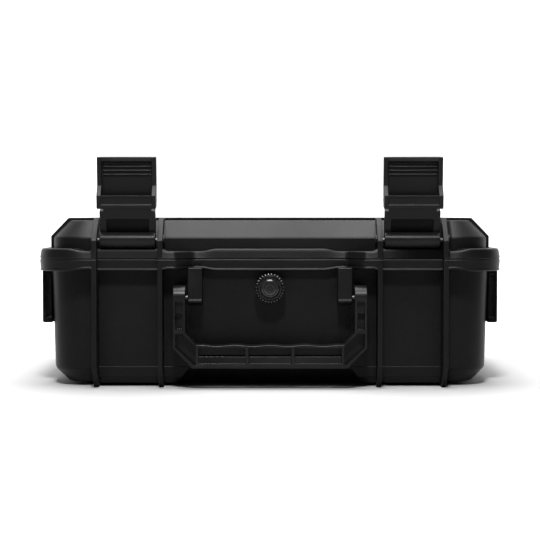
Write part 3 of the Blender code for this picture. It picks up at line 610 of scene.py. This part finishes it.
# ------------------------------ lid shell
def lid_shell():
    bottom = PARTING + GAP
    top_corner = LID_CORNER - (LID_HALF[0] - LID_TOP_HALF[0])
    lid = loft("lid", [
        (rounded_rectangle(*LID_HALF, LID_CORNER), bottom + 0.5 * mm),
        (rounded_rectangle(*LID_HALF, LID_CORNER), SHOULDER),
        (rounded_rectangle(*LID_TOP_HALF, top_corner), PLATE_TOP),
    ])
    bevel(lid, 1.1 * mm, 4, 20)
    levels = [(0.5 * mm, 0, GAP), (0, 0, 0.8 * mm), (0.7 * mm, 1, -2.6 * mm), (0.95 * mm, 1, -1.3 * mm),
              (1.35 * mm, 1, -0.55 * mm), (2.0 * mm, 1, -0.12 * mm), (2.9 * mm, 1, 0)]
    union(lid, rim("rim", levels, 1, 7.4 * mm, 5.6 * mm))

    slant = PARTING + 13 * mm
    top_y = 122.5 * mm
    fin = filleted([(-FLANGE_Y, bottom), (FLANGE_Y, bottom), (FLANGE_Y, slant), (top_y, RIB_TOP),
                    (-top_y, RIB_TOP), (-FLANGE_Y, slant)], 1.0 * mm, 3)
    for side in (-1, 1):
        for x in FIN_X:
            low = side * x - FIN_THICK / 2
            union(lid, slab("fin", "yz", fin, low, low + FIN_THICK, 0.55 * mm))
    union(lid, *side_ribs())
    for side in (-1, 1):
        for x in FIN_X:
            outward = side if x > BAY_X else -side
            face = side * x + outward * FIN_THICK / 2
            start = face - 0.5 * mm if outward > 0 else face - 1.2 * mm
            union(lid, rod("boss", "x", (start, *latch_axis()), 1.7 * mm, 3.6 * mm, 0.5 * mm))
        union(lid, knuckle("knuckle", 1, side * BAY_X, 9.6 * mm))

    inner = (LID_HALF[0] - WALL, LID_HALF[1] - WALL)
    inner_top = (LID_TOP_HALF[0] - WALL / 2, LID_TOP_HALF[1] - WALL / 2)
    cavity = loft("cavity", [
        (rounded_rectangle(*inner, LID_CORNER - WALL), bottom - 5 * mm),
        (rounded_rectangle(*inner, LID_CORNER - WALL), SHOULDER - WALL / 2),
        (rounded_rectangle(*inner_top, top_corner - WALL / 2), PLATE_TOP - WALL),
    ])
    difference(lid, bevel(cavity, 1.5 * mm, 3, 20), *padlock_holes(bottom - 1 * mm, PARTING + 9 * mm))
    difference(lid, *hinge_bores())
    for side in (-1, 1):
        difference(lid, rod("bore", "x", (side * BAY_X - 27 * mm, *latch_axis()), 54 * mm, LATCH_BORE_R))
    finish_piece(lid, SHELL, "lid", ["lid_shell"], name="moulded_lid_shell")


def latch_axis():
    at = joint_point("left_link_close")
    return at.y, at.z


def side_ribs():
    """The lid's ribs that run left to right; the middle ones stop at the outer fins."""
    height = RIB_TOP - PLATE_TOP
    flank = [(LID_HALF[0] + height, PARTING + 5 * mm), (LID_HALF[0] + height, SHOULDER + height / 2),
             (LID_TOP_HALF[0] + height / 2, RIB_TOP)]
    low_x, foot = FIN_X[1], PARTING + 5 * mm
    made = []
    for step in range(-3, 4):
        low = step * RIB_PITCH - RIB_THICK / 2
        if abs(step) >= 2:
            outlines = [flank + mirrored(flank)]
        else:
            short = flank + [(low_x, RIB_TOP), (low_x, foot)]
            outlines = [short, mirrored(short)]
        for outline in outlines:
            rounded = filleted(outline, 1.0 * mm, 3)
            made.append(slab("rib", "xz", rounded, low, low + RIB_THICK, 0.5 * mm))
    return made


# ------------------------------ base shell
def seal_band(name, profile):
    """A band along the seal's line; profile is (offset outwards, height)."""
    rings = []
    for offset, z in profile:
        outline = rounded_rectangle(SEAL_HALF[0] + offset, SEAL_HALF[1] + offset, SEAL_CORNER + offset)
        rings.append([(x, y, z) for x, y in outline])
    return loft_rings(name, rings, closed=True)


def base_shell():
    top = PARTING - GAP
    floor_half = [half - BASE_CHAMFER for half in BASE_FOOT_HALF]
    base = loft("base", [
        (rounded_rectangle(*floor_half, BASE_CORNER - BASE_CHAMFER), RUNNER),
        (rounded_rectangle(*BASE_FOOT_HALF, BASE_CORNER), RUNNER + BASE_CHAMFER),
        (rounded_rectangle(*BASE_HALF, BASE_CORNER), top - 0.5 * mm),
    ])
    bevel(base, 1.4 * mm, 4, 20)
    levels = [(0.5 * mm, 0, GAP), (0, 0, 0.8 * mm), (0.4 * mm, 1, -2.6 * mm), (0.75 * mm, 1, -2.1 * mm),
              (0.45 * mm, 1, -1.6 * mm), (0.15 * mm, 1, -1.1 * mm), (0.25 * mm, 1, -0.45 * mm),
              (0.9 * mm, 1, 0)]
    union(base, rim("rim", levels, -1, 8.5 * mm, 7.0 * mm))

    slant = 15 * mm
    front, rear = -FLANGE_Y, REAR_FIN_Y
    fin = filleted([(front, top), (front, slant), (front + slant, 0), (rear - slant, 0), (rear, slant),
                    (rear, top)], 1.0 * mm, 3)
    for side in (-1, 1):
        for x in FIN_X:
            low = side * x - FIN_THICK / 2
            union(base, slab("fin", "yz", fin, low, low + FIN_THICK, 0.6 * mm))
    foot_y = BASE_FOOT_HALF[1] + 0.4 * mm
    foot_top = RUNNER + BASE_CHAMFER + 2 * mm
    foot = [(foot_y, foot_top), (foot_y, 7 * mm), (foot_y - 4 * mm, RUNNER), (foot_y - 30 * mm, RUNNER),
            (foot_y - 30 * mm, foot_top)]
    front_view = [(57 * mm, foot_top + 1 * mm), (57 * mm, 13.5 * mm), (66.7 * mm, RUNNER - 1 * mm),
                  (FIN_X[1], RUNNER - 1 * mm), (FIN_X[1], foot_top + 1 * mm)]
    for side in (-1, 1):
        low, high = sorted((side * 50 * mm, side * FIN_X[1]))
        for outline in (foot, mirrored(foot)):
            view = front_view if side > 0 else mirrored(front_view)
            y0, y1 = min(y for y, _ in outline) - 1 * mm, max(y for y, _ in outline) + 1 * mm
            block_side = slab("foot", "yz", outline, low, high)
            made = combine(block_side, "INTERSECT", [slab("foot_front", "xz", view, y0, y1)])
            union(base, bevel(made, 0.8 * mm, 3))
        union(base, handle_post(side))
        for centre in (-15.45 * mm, 15.45 * mm):
            union(base, knuckle("knuckle", -1, side * BAY_X + centre, 5.45 * mm))

    inner = [half - WALL for half in BASE_HALF]
    inner_foot = [half - WALL for half in BASE_FOOT_HALF]
    inner_floor = [half - WALL / 2 for half in floor_half]
    cavity = loft("cavity", [
        (rounded_rectangle(*inner_floor, BASE_CORNER - BASE_CHAMFER - WALL / 2), RUNNER + WALL),
        (rounded_rectangle(*inner_foot, BASE_CORNER - WALL), RUNNER + BASE_CHAMFER + WALL / 2),
        (rounded_rectangle(*inner, BASE_CORNER - WALL), top + 5 * mm),
    ])
    groove = seal_band("groove", [(-2.3 * mm, top - 3.2 * mm), (2.3 * mm, top - 3.2 * mm),
                                  (2.3 * mm, top + 1 * mm), (-2.3 * mm, top + 1 * mm)])
    difference(base, bevel(cavity, 1.5 * mm, 3, 20), groove)
    difference(base, *padlock_holes(PARTING - 10 * mm, top + 1 * mm), *hinge_bores())
    valve = joint_point("valve_turn")
    difference(base, rod("bore", "y", (0, -BASE_HALF[1] - 4 * mm, valve.z), 12 * mm, VALVE_BORE_R))
    finish_piece(base, SHELL, "base", ["base_shell"], name="moulded_base_shell")


def handle_post(side):
    """Bracket that carries the handle's pin, with a small ledge at its lower end."""
    low, high = sorted((side * 47.5 * mm, side * 57.5 * mm))
    wall_y, face_y = -118 * mm, -FLANGE_Y + 1.6 * mm
    top, bottom = PARTING - 6 * mm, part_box("base_shell")[0][2] + 58.5 * mm
    ledge_y = face_y - 0.6 * mm
    outline = [(wall_y, top), (face_y, top), (face_y, bottom + 4.6 * mm), (ledge_y, bottom + 3.6 * mm),
               (ledge_y, bottom + 2.5 * mm), (face_y + 3 * mm, bottom), (wall_y, bottom)]
    post = slab("post", "yz", outline, low, high, 0.7 * mm, 3)
    handle = joint_point("handle_swing")
    start = 56 * mm if side > 0 else -63.5 * mm
    return difference(post, rod("bore", "x", (start, handle.y, handle.z), 7.5 * mm, HANDLE_BORE_R))


# ------------------------------ seal and foam
def lid_seal():
    low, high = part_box("lid_seal")
    middle, height = (low[2] + high[2]) / 2, (high[2] - low[2]) / 2
    profile = []
    for i in range(16):
        angle = 2 * math.pi * i / 16
        bulge = abs(math.cos(angle)) ** 0.6 * math.copysign(1, math.cos(angle))
        profile.append((2 * mm * bulge, middle + height * math.sin(angle)))
    finish_piece(seal_band("seal", profile), RUBBER, "base", ["lid_seal"])


OPENINGS = frame["record"]["physics"]["openings"]
POCKETS = [opening["box_m"] for opening in OPENINGS if "pocket" in opening["name"]]


def insert_foam():
    """The block with cut-outs for the drone, its controller, batteries and charger."""
    low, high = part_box("insert_foam")
    foam = loft("foam", [
        (rounded_rectangle(high[0], high[1], 20 * mm), low[2]),
        (rounded_rectangle(high[0], high[1], 20 * mm), high[2]),
    ])
    bevel(foam, 2.0 * mm, 4, 40)
    for (x0, y0, z0), (x1, y1, _) in POCKETS:
        middle = ((x0 + x1) / 2, (y0 + y1) / 2)
        half = ((x1 - x0) / 2 + 0.4 * mm, (y1 - y0) / 2 + 0.4 * mm)

        def outline(grow, half=half, middle=middle):
            points = rounded_rectangle(half[0] + grow, half[1] + grow, 9 * mm + grow)
            return [(x + middle[0], y + middle[1]) for x, y in points]

        flare = [(0, z0), (0, high[2] - 3 * mm), (0.5 * mm, high[2] - 1.4 * mm),
                 (1.4 * mm, high[2] - 0.4 * mm), (2.6 * mm, high[2] + 1 * mm)]
        difference(foam, loft("pocket", [(outline(grow), z) for grow, z in flare]))
        grip = rod("thumb_cut", "z", (middle[0], y0 - 0.4 * mm, z0 + 12 * mm), 80 * mm, 9 * mm)
        difference(foam, grip)
    notch = block("notch", (-11 * mm, low[1] - 1 * mm, 58 * mm),
                  (11 * mm, low[1] + 6 * mm, high[2] + 1 * mm))
    difference(foam, notch)
    finish_piece(foam, FOAM, "base", ["insert_foam"])


def floor_pad():
    low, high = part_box("floor_pad_foam")
    pad = loft("pad", [
        (rounded_rectangle(138 * mm, 104 * mm, 9 * mm), low[2]),
        (rounded_rectangle(147 * mm, 113 * mm, 18 * mm), high[2]),
    ])
    finish_piece(bevel(pad, 1.5 * mm, 3), FOAM, "base", ["floor_pad_foam"])


def lid_foam():
    """Convoluted foam: rows of soft peaks facing down, glued flat into the lid."""
    low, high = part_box("lid_foam")
    size_x, size_y = high[0] - 1 * mm, 114 * mm
    pitch, peak = 26 * mm, 7 * mm
    columns, rows = 92, 70
    bm = bmesh.new()
    grid = []
    for j in range(rows + 1):
        row = []
        for i in range(columns + 1):
            x = size_x * (2 * i / columns - 1)
            y = size_y * (2 * j / rows - 1)
            edge = min(1.0, (size_x - abs(x)) / (12 * mm), (size_y - abs(y)) / (12 * mm))
            wave = 0.5 + 0.25 * (math.cos(2 * math.pi * x / pitch) + math.cos(2 * math.pi * y / pitch))
            depth = peak * wave * (0.35 + 0.65 * edge)
            row.append(bm.verts.new((x, y, low[2] + 1 * mm + peak - depth)))
        grid.append(row)
    for j in range(rows):
        for i in range(columns):
            bm.faces.new((grid[j][i], grid[j][i + 1], grid[j + 1][i + 1], grid[j + 1][i]))
    border = grid[0] + [row[-1] for row in grid[1:]] + grid[-1][-2::-1] + [row[0] for row in grid[-2:0:-1]]
    rings = [border]
    for share, z in ((1.0, high[2] - 9.5 * mm), (0.94, high[2] - 0.5 * mm)):
        rings.append([bm.verts.new((v.co.x * share, v.co.y * share, z)) for v in border])
    for a, b in zip(rings, rings[1:]):
        for i in range(len(a)):
            j = (i + 1) % len(a)
            bm.faces.new((a[i], a[j], b[j], b[i]))
    bm.faces.new(rings[-1])
    foam = new_object("lid_foam_peaks", bm)
    corner = loft("trim", [(rounded_rectangle(size_x, size_y, 20 * mm), low[2] - 5 * mm),
                           (rounded_rectangle(size_x, size_y, 20 * mm), high[2] + 5 * mm)])
    combine(foam, "INTERSECT", [corner])
    finish_piece(foam, FOAM, "lid", ["lid_foam"], sharp=50)


# ------------------------------ pins
def wire_pin(name, node, body):
    """A drawn-steel pin with turned ends, where the CAD has its plain one."""
    low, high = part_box(node)
    radius = (high[2] - low[2]) / 2
    start = (low[0], (low[1] + high[1]) / 2, (low[2] + high[2]) / 2)
    made = rod(name, "x", start, high[0] - low[0], radius, 0.4 * mm, 28)
    finish_piece(made, STEEL_IN_PAINTED_SHADE, body, [node])


def pins():
    for label in ("left", "right"):
        wire_pin(f"steel_hinge_pin_{label}", f"hinge_pin_{label}", "base")
        wire_pin(f"steel_handle_pin_{label}", f"handle_pin_{label}", "base")
        wire_pin(f"steel_latch_pivot_{label}", f"latch_pivot_pin_{label}", "lid")
        wire_pin(f"steel_lever_pin_{label}", f"latch_lever_pin_{label}", f"{label}_link")


# ------------------------------ latches
def link_frame(label):
    """From an upright link, pivot at the origin, to its place on the lid."""
    return Matrix.Translation(joint_point(f"{label}_link_close")) @ Matrix.Rotation(LINK_TILT, 4, "X")


def lever_frame(label):
    """From an upright lever, measured from the latch pivot, to its place on the link."""
    pin = joint_point(f"{label}_lever_release")
    back_to_pin = Matrix.Translation((0, -LEVER_AT[0], -LEVER_AT[1]))
    return Matrix.Translation(pin) @ Matrix.Rotation(LEVER_TILT, 4, "X") @ back_to_pin


def link_piece(label):
    """The link: a barrel on the lid's pin, two arms, and a plate that ends in the lever's knuckle."""
    half, neck = 19.6 * mm, 16.9 * mm
    barrel = turned("link", "x", (-half, 0, 0), [
        (0, 4.6 * mm), (0.25 * mm, 5.15 * mm), (0.8 * mm, 5.4 * mm), (2 * half - 0.8 * mm, 5.4 * mm),
        (2 * half - 0.25 * mm, 5.15 * mm), (2 * half, 4.6 * mm)])
    inner, outer = 2.6 * mm, 8.5 * mm
    arm = [(inner, 0), (5.2 * mm, 0), (5.3 * mm, 3 * mm), (outer, 10 * mm), (outer, 20.5 * mm),
           (inner, 20.5 * mm)]
    for side in (-1, 1):
        low, high = sorted((side * 14.8 * mm, side * half))
        union(barrel, slab("arm", "yz", arm, low, high, 0.5 * mm))
    y, z = LEVER_AT
    plate = [(inner + 0.5 * mm, 14 * mm), (inner + 3 * mm, 14 * mm), (inner + 3 * mm, z), (inner, z),
             (inner, 14.6 * mm)]
    union(barrel, slab("plate", "yz", plate, -neck, neck, 0.25 * mm))
    web = [(inner + 0.1 * mm, 14.2 * mm), (inner + 2.0 * mm, 9.5 * mm), (inner + 2.2 * mm, 3 * mm),
           (inner + 3 * mm, 3 * mm), (inner + 3 * mm, 14.2 * mm)]
    union(barrel, slab("web", "yz", web, -neck, neck))
    for x in (-8 * mm, 8 * mm):
        union(barrel, block("stiffener", (x - 0.8 * mm, inner + 2 * mm, 15 * mm),
                            (x + 0.8 * mm, inner + 4.4 * mm, 25 * mm), 0.4 * mm))
    union(barrel, rod("knuckle", "x", (-neck, y, z), 2 * neck, 2.9 * mm, 0.4 * mm))
    start_x = -LATCH_BORE_LENGTH / 2
    difference(barrel, rod("bore", "x", (start_x, 0, 0), LATCH_BORE_LENGTH, LATCH_BORE_R))
    difference(barrel, rod("bore", "x", (start_x, y, z), LATCH_BORE_LENGTH, 1.4 * mm))
    node = f"latch_link_{label}"
    finish_piece(barrel, HARDWARE, f"{label}_link", [node], link_frame(label),
                 name=f"moulded_{node}")


def lever_piece(label):
    """The lever: two cheeks, the hook bar between them, a cover and a ridged thumb lip."""
    y, z = LEVER_AT
    wide, inner_x = 20.75 * mm, 17.4 * mm
    nose, back, face, end = -3.5 * mm, 3.2 * mm, 10 * mm, 58.5 * mm
    bar_low, bar_high = 22.9 * mm, 32.2 * mm
    cheek = [(nose, bar_low), (5.5 * mm, bar_low), (9 * mm, 26 * mm), (face, 30.5 * mm), (face, end),
             (back, end), (back, 38.5 * mm), (nose + 0.8 * mm, bar_high + 0.8 * mm), (nose, bar_high)]
    lever = slab("lever", "yz", cheek, inner_x, wide, 0.6 * mm, 3)
    union(lever, slab("cheek", "yz", cheek, -wide, -inner_x, 0.6 * mm, 3))
    reach = inner_x + 1 * mm
    bar = [(nose, bar_low + 0.5 * mm), (nose, bar_low + 2.6 * mm), (nose + 0.8 * mm, bar_low + 3.3 * mm),
           (nose + 0.8 * mm, bar_high - 1.8 * mm), (nose + 0.1 * mm, bar_high - 1.1 * mm),
           (nose + 0.3 * mm, bar_high), (0.4 * mm, bar_high), (0.4 * mm, bar_low),
           (nose + 0.5 * mm, bar_low)]
    union(lever, slab("bar", "yz", bar, -reach, reach, 0.2 * mm))
    cover = [(7.3 * mm, z + 2.3 * mm), (face, z + 2.3 * mm), (face, end), (7.3 * mm, end)]
    union(lever, slab("cover", "yz", cover, -reach, reach, 0.5 * mm))
    lip = [(back, 55.6 * mm), (back + 0.9 * mm, end), (face - 0.6 * mm, end), (8.2 * mm, 54.2 * mm),
           (5.6 * mm, 54.2 * mm)]
    union(lever, slab("lip", "yz", lip, -reach, reach, 0.5 * mm))
    for centre in (46.2 * mm, 49 * mm, 51.8 * mm):
        ridge = [(8 * mm, centre - 1.1 * mm), (6.1 * mm, centre - 0.55 * mm), (5.7 * mm, centre),
                 (6.1 * mm, centre + 0.55 * mm), (8 * mm, centre + 1.1 * mm)]
        union(lever, slab("ridge", "yz", ridge, -reach + 1.6 * mm, reach - 1.6 * mm, 0.2 * mm))
    difference(lever, rod("bore", "x", (-LATCH_BORE_LENGTH / 2, y, z), LATCH_BORE_LENGTH, 1.3 * mm))
    node = f"latch_lever_{label}"
    finish_piece(lever, HARDWARE, f"{label}_lever", [node], lever_frame(label),
                 name=f"moulded_{node}")


# ------------------------------ handle
def finger_waves(half, top):
    """The grip's upper edge from right to left, with a shallow dip for each finger."""
    steps = 64
    waves = []
    for i in range(steps + 1):
        x = half - 2 * half * i / steps
        fade = min(1.0, (half - abs(x)) / (8 * mm))
        dip = 0.5 - 0.5 * math.cos(2 * math.pi * (x / (24.6 * mm)))
        waves.append((x, top - 0.9 * mm * fade * dip))
    return waves


def handle_pockets(face, into, outer, bottom):
    """Solids that cut the pockets into one face of the handle; into is 1 or -1, towards the other."""
    depth, rail = 7.4 * mm, 1.8 * mm
    inner, grip_top = outer - HANDLE_ARM, bottom + HANDLE_GRIP
    outside, deep = face - into * 2 * mm, face + into * depth
    z0, z1 = bottom + 3 * mm, bottom + 14.4 * mm
    middle = z0 + 0.45 * (z1 - z0)
    floor = [(outside, z0), (face + into * 3.2 * mm, z0), (face + into * 4.4 * mm, middle),
             (deep, middle + 0.4 * mm), (deep, z1), (outside, z1)]
    grip_spans = ((-50 * mm, -17.1 * mm), (-15 * mm, 15 * mm), (17.1 * mm, 50 * mm))
    cuts = [slab("pocket", "yz", floor, x0, x1, 0.4 * mm, 3) for x0, x1 in grip_spans]
    y0, y1 = sorted((outside, deep))
    shallow_y0, shallow_y1 = sorted((outside, face + into * 3.0 * mm))
    for side in (-1, 1):
        x0, x1 = sorted((side * (inner + rail), side * (outer - rail)))
        cuts.append(block("pocket", (x0, y0, 41.9 * mm), (x1, y1, 53.5 * mm), 0.5 * mm, 3))
        cuts.append(block("pocket", (x0, shallow_y0, 53 * mm), (x1, shallow_y1, 61.7 * mm), 0.5 * mm, 3))
        corner = [(outer - rail, 39.3 * mm), (outer - rail, bottom + HANDLE_CHAMFER + 0.7 * mm),
                  (outer - HANDLE_CHAMFER - 0.7 * mm, bottom + rail + 0.7 * mm),
                  (51.8 * mm, bottom + rail + 0.7 * mm), (51.8 * mm, grip_top - 1.0 * mm),
                  (inner + rail, grip_top + 7.6 * mm), (inner + rail, 39.3 * mm)]
        corner = filleted(corner if side > 0 else mirrored(corner), 0.7 * mm, 3)
        cuts.append(slab("pocket", "xz", corner, y0, y1, 0.4 * mm))
    return cuts


def carry_handle():
    """A U-shaped handle with cut corners, rounded about its pins and pocketed on both faces."""
    low, high = corners("carry_handle")
    pivot = joint_point("handle_swing")
    front, back, outer, bottom = low.y, high.y, high.x, low.z
    inner, grip_top = outer - HANDLE_ARM, bottom + HANDLE_GRIP
    radius = (back - front) / 2
    top = pivot.z + radius
    half = [(outer - HANDLE_CHAMFER, bottom), (outer, bottom + HANDLE_CHAMFER), (outer, top), (inner, top),
            (inner, grip_top + 8.5 * mm)]
    other = mirrored(half)
    outline = other[2:] + half + finger_waves(inner - 7.5 * mm, grip_top) + other[:2]
    handle = slab("handle", "xz", outline, front, back)
    side_view = [(front, bottom - 1 * mm), (back, bottom - 1 * mm)]
    side_view += arc((pivot.y, pivot.z), radius, 0, 180, 24)
    combine(handle, "INTERSECT", [slab("side", "yz", side_view, -outer - 1 * mm, outer + 1 * mm)])
    bevel(handle, 0.9 * mm, 3, 40)
    for face, into in ((front, 1), (back, -1)):
        difference(handle, *handle_pockets(face, into, outer, bottom))
    finish_piece(handle, HARDWARE, "handle", ["carry_handle"], name="moulded_carry_handle")


# ------------------------------ air valve
def on_valve_axis(name, y, profile, steps=64):
    """A solid turned about the valve's axis; profile is (distance into the case from y, radius)."""
    return turned(name, "y", (0, y, joint_point("valve_turn").z), profile, steps)


def valve_knob():
    """A knurled skirt with a sunk face, a raised crown with a ring groove, and the screw behind."""
    low, high = corners("valve_knob")
    axis = joint_point("valve_turn")
    radius = (high.x - low.x) / 2
    face_y, skirt_y = low.y, axis.y
    teeth, steps = 28, 8
    skirt = [(0.0, 0.92), (0.3 * mm, 0.985), (0.8 * mm, 1.0), (7.0 * mm, 1.0), (7.7 * mm, 0.975),
             (8.3 * mm, 0.91), (8.5 * mm, 0.865)]
    rings = []
    for along, share in reversed(skirt):
        ring = []
        for i in range(teeth * steps):
            angle = 2 * math.pi * i / (teeth * steps)
            groove = (0.5 + 0.5 * math.cos(teeth * angle)) ** 2.0
            r = radius * share - 1.25 * mm * groove
            ring.append((r * math.sin(angle), skirt_y - along, axis.z + r * math.cos(angle)))
        rings.append(ring)
    knob = loft_rings("knob", rings)
    difference(knob, on_valve_axis("dish", skirt_y - 9.5 * mm, [
        (0, 9.3 * mm), (1.0 * mm, 8.9 * mm), (2.2 * mm, 8.5 * mm), (2.6 * mm, 8.0 * mm)]))
    union(knob, on_valve_axis("crown", face_y, [
        (0, 3.4 * mm), (0.2 * mm, 5.0 * mm), (0.9 * mm, 6.3 * mm), (2.0 * mm, 7.0 * mm),
        (skirt_y - face_y - 3 * mm, 7.4 * mm)]))
    ring_groove = on_valve_axis("groove", face_y - 0.5 * mm, [(0, 5.6 * mm), (1.25 * mm, 5.2 * mm)])
    difference(ring_groove, on_valve_axis("boss", face_y - 1 * mm, [(0, 4.3 * mm), (3 * mm, 4.5 * mm)]))
    dimple = on_valve_axis("dimple", face_y - 1 * mm, [(0, 2.4 * mm), (1.9 * mm, 1.5 * mm)], 48)
    difference(knob, ring_groove, dimple)
    screw_y = skirt_y - 1 * mm
    union(knob, rod("screw", "y", (0, screw_y, axis.z), high.y - screw_y, 1.7 * mm, 0.4 * mm))
    finish_piece(knob, KNOB, "knob", ["valve_knob"], name="knurled_valve_knob")


def valve_seat():
    low, high = corners("valve_seat")
    stem = high.y - low.y
    seat = on_valve_axis("seat", low.y, [
        (0, 8.9 * mm), (0.25 * mm, 9.4 * mm), (0.7 * mm, 9.6 * mm), (2 * mm, 9.6 * mm), (2 * mm, 5 * mm),
        (stem - 0.4 * mm, 5 * mm), (stem, 4.6 * mm)])
    difference(seat, rod("bore", "y", (0, low.y - 1 * mm, joint_point("valve_turn").z), 16 * mm, 2.2 * mm))
    finish_piece(seat, HARDWARE, "base", ["valve_seat"], name="moulded_valve_seat")


def valve_ring(node, material, sides):
    """The washer, or with six sides the nut, on the seat's stem inside the case."""
    low, high = corners(node)
    axis_z = joint_point("valve_turn").z
    length = high.y - low.y
    ring = rod("ring", "y", (0, low.y, axis_z), length, (high.x - low.x) / 2, steps=sides)
    bevel(ring, 0.25 * mm, 3, 40)
    difference(ring, rod("bore", "y", (0, low.y - 1 * mm, axis_z), length + 2 * mm, VALVE_BORE_R))
    finish_piece(ring, material, "base", [node], name="fine_" + node)


def valve_o_ring():
    low, high = corners("valve_o_ring")
    middle = Matrix.Translation((0, (low.y + high.y) / 2, joint_point("valve_turn").z))
    thick = (high.y - low.y) / 2
    path = (high.x - low.x) / 2 - thick
    rings = []
    for i in range(64):
        place = middle @ Matrix.Rotation(2 * math.pi * i / 64, 4, "Y")
        circle = [2 * math.pi * j / 14 for j in range(14)]
        rings.append([place @ Vector((path + thick * math.cos(a), thick * math.sin(a), 0)) for a in circle])
    o_ring = loft_rings("o_ring", rings, closed=True)
    finish_piece(o_ring, RUBBER, "base", ["valve_o_ring"], name="fine_valve_o_ring")


# ------------------------------ strap loops and badge
def strap_loops():
    for label in ("left", "right"):
        node = f"strap_loop_{label}"
        low, high = corners(node)
        side = 1 if low.x > 0 else -1
        outline = rounded_corners_2d(low.x, high.x, low.z, high.z, 1.4 * mm)
        loop = slab("loop", "xz", outline, low.y, high.y, 0.7 * mm, 3)
        near, far = (low.x, high.x) if side > 0 else (high.x, low.x)
        x0, x1 = sorted((near + side * 1.1 * mm, far - side * 2.0 * mm))
        gap = rounded_corners_2d(x0, x1, low.z + 3 * mm, high.z - 3 * mm, 1.2 * mm)
        difference(loop, slab("gap", "xz", gap, low.y - 1 * mm, high.y + 1 * mm))
        finish_piece(loop, LOOP, "base", [node], name=f"moulded_{node}")


def rounded_corners_2d(x0, x1, z0, z1, radius):
    points = rounded_rectangle((x1 - x0) / 2, (z1 - z0) / 2, radius, 5)
    return [(x + (x0 + x1) / 2, z + (z0 + z1) / 2) for x, z in points]


def badge():
    low, high = corners("badge_plate")
    outline = rounded_rectangle(high.x, high.y, 6 * mm)
    plate = bevel(loft("badge", [(outline, low.z), (outline, high.z)]), 0.35 * mm, 4)
    finish_piece(plate, GLOSS, "lid", ["badge_plate"], name="glossy_badge_plate")

    low, high = corners("badge_emblem")
    hexagon = filleted(arc((0, 0), 8 * mm, 0, 300, 5), 0.8 * mm, 4)
    small = filleted(arc((0, 0), 5 * mm, 0, 300, 5), 0.6 * mm, 4)
    emblem = loft("emblem", [(hexagon, low.z), (hexagon, high.z)])
    difference(emblem, loft("hole", [(small, low.z - 1 * mm), (small, high.z + 1 * mm)]))
    bevel(emblem, 0.12 * mm, 2, 40)
    finish_piece(emblem, SILVER, "lid", ["badge_emblem"], name="hexagon_emblem")


# ------------------------------ stage, light, camera
def area_light(name, location, target, size, power):
    data = bpy.data.lights.new(name, "AREA")
    data.shape = "RECTANGLE"
    data.size, data.size_y = size
    data.energy = power
    made = bpy.data.objects.new(name, data)
    bpy.context.scene.collection.objects.link(made)
    made.location = location
    made.rotation_euler = (Vector(target) - Vector(location)).to_track_quat("-Z", "Y").to_euler()


def stage():
    """A floor that curves up behind, grey in front and glowing white towards the back; world and lights."""
    curve = arc((1.3, 0.6), 0.6, -90, 0, 9)
    profile = [(-4.0, 0.0)] + curve + [(1.9, 3.5)]
    bm = bmesh.new()
    lines = [[bm.verts.new((x, y, z)) for y, z in profile] for x in (-4.0, 4.0)]
    for i in range(len(profile) - 1):
        bm.faces.new((lines[0][i], lines[1][i], lines[1][i + 1], lines[0][i + 1]))
    sweep = new_object("studio_sweep", bm)
    sweep.data.shade_smooth()
    look = Nodes("studio_paper")
    place = look.add("ShaderNodeSeparateXYZ")
    look.link(look.position, place.inputs["Vector"])
    look.shade(place.outputs["Y"], -0.9, -0.69, (0.2, 0.2, 0.2), (0.42, 0.42, 0.42))
    look.put("Roughness", 0.8)
    look.put("Specular IOR Level", 0.1)
    look.put("Emission Color", (1.0, 1.0, 1.0))
    look.put("Emission Strength", look.ramp(place.outputs["Y"], 0.1, 0.6, 0.0, 0.95))
    sweep.data.materials.append(look.material)

    world = bpy.data.worlds.new("studio")
    world.use_nodes = True
    world.node_tree.nodes["Background"].inputs["Color"].default_value = (0.95, 0.97, 1.0, 1.0)
    world.node_tree.nodes["Background"].inputs["Strength"].default_value = 0.1
    bpy.context.scene.world = world
    bpy.context.scene.view_settings.view_transform = "Standard"

    area_light("overhead_softbox", (-0.03, -0.05, 1.25), (0, -0.05, 0), (1.1, 0.7), 30)
    area_light("key", (-0.02, -1.15, 1.2), (0, 0, 0.06), (0.18, 0.18), 26)
    area_light("backdrop_wash", (0, 0.75, 1.6), (0, 1.9, 0.7), (3.0, 0.6), 26)


def camera():
    data = bpy.data.cameras.new("camera")
    data.lens = 110
    data.clip_start = 0.01
    made = bpy.data.objects.new("camera", data)
    bpy.context.scene.collection.objects.link(made)
    made.location = (0, -1.29, 0.122)
    target = Vector((0, 0, 0.079))
    made.rotation_euler = (target - Vector(made.location)).to_track_quat("-Z", "Y").to_euler()
    bpy.context.scene.camera = made


camera()
stage()
base_shell()
lid_shell()
lid_seal()
floor_pad()
insert_foam()
lid_foam()
pins()
for side_label in ("left", "right"):
    link_piece(side_label)
    lever_piece(side_label)
carry_handle()
valve_knob()
valve_seat()
valve_ring("valve_washer", RUBBER, 48)
valve_ring("valve_nut", HARDWARE, 6)
valve_o_ring()
strap_loops()
badge()
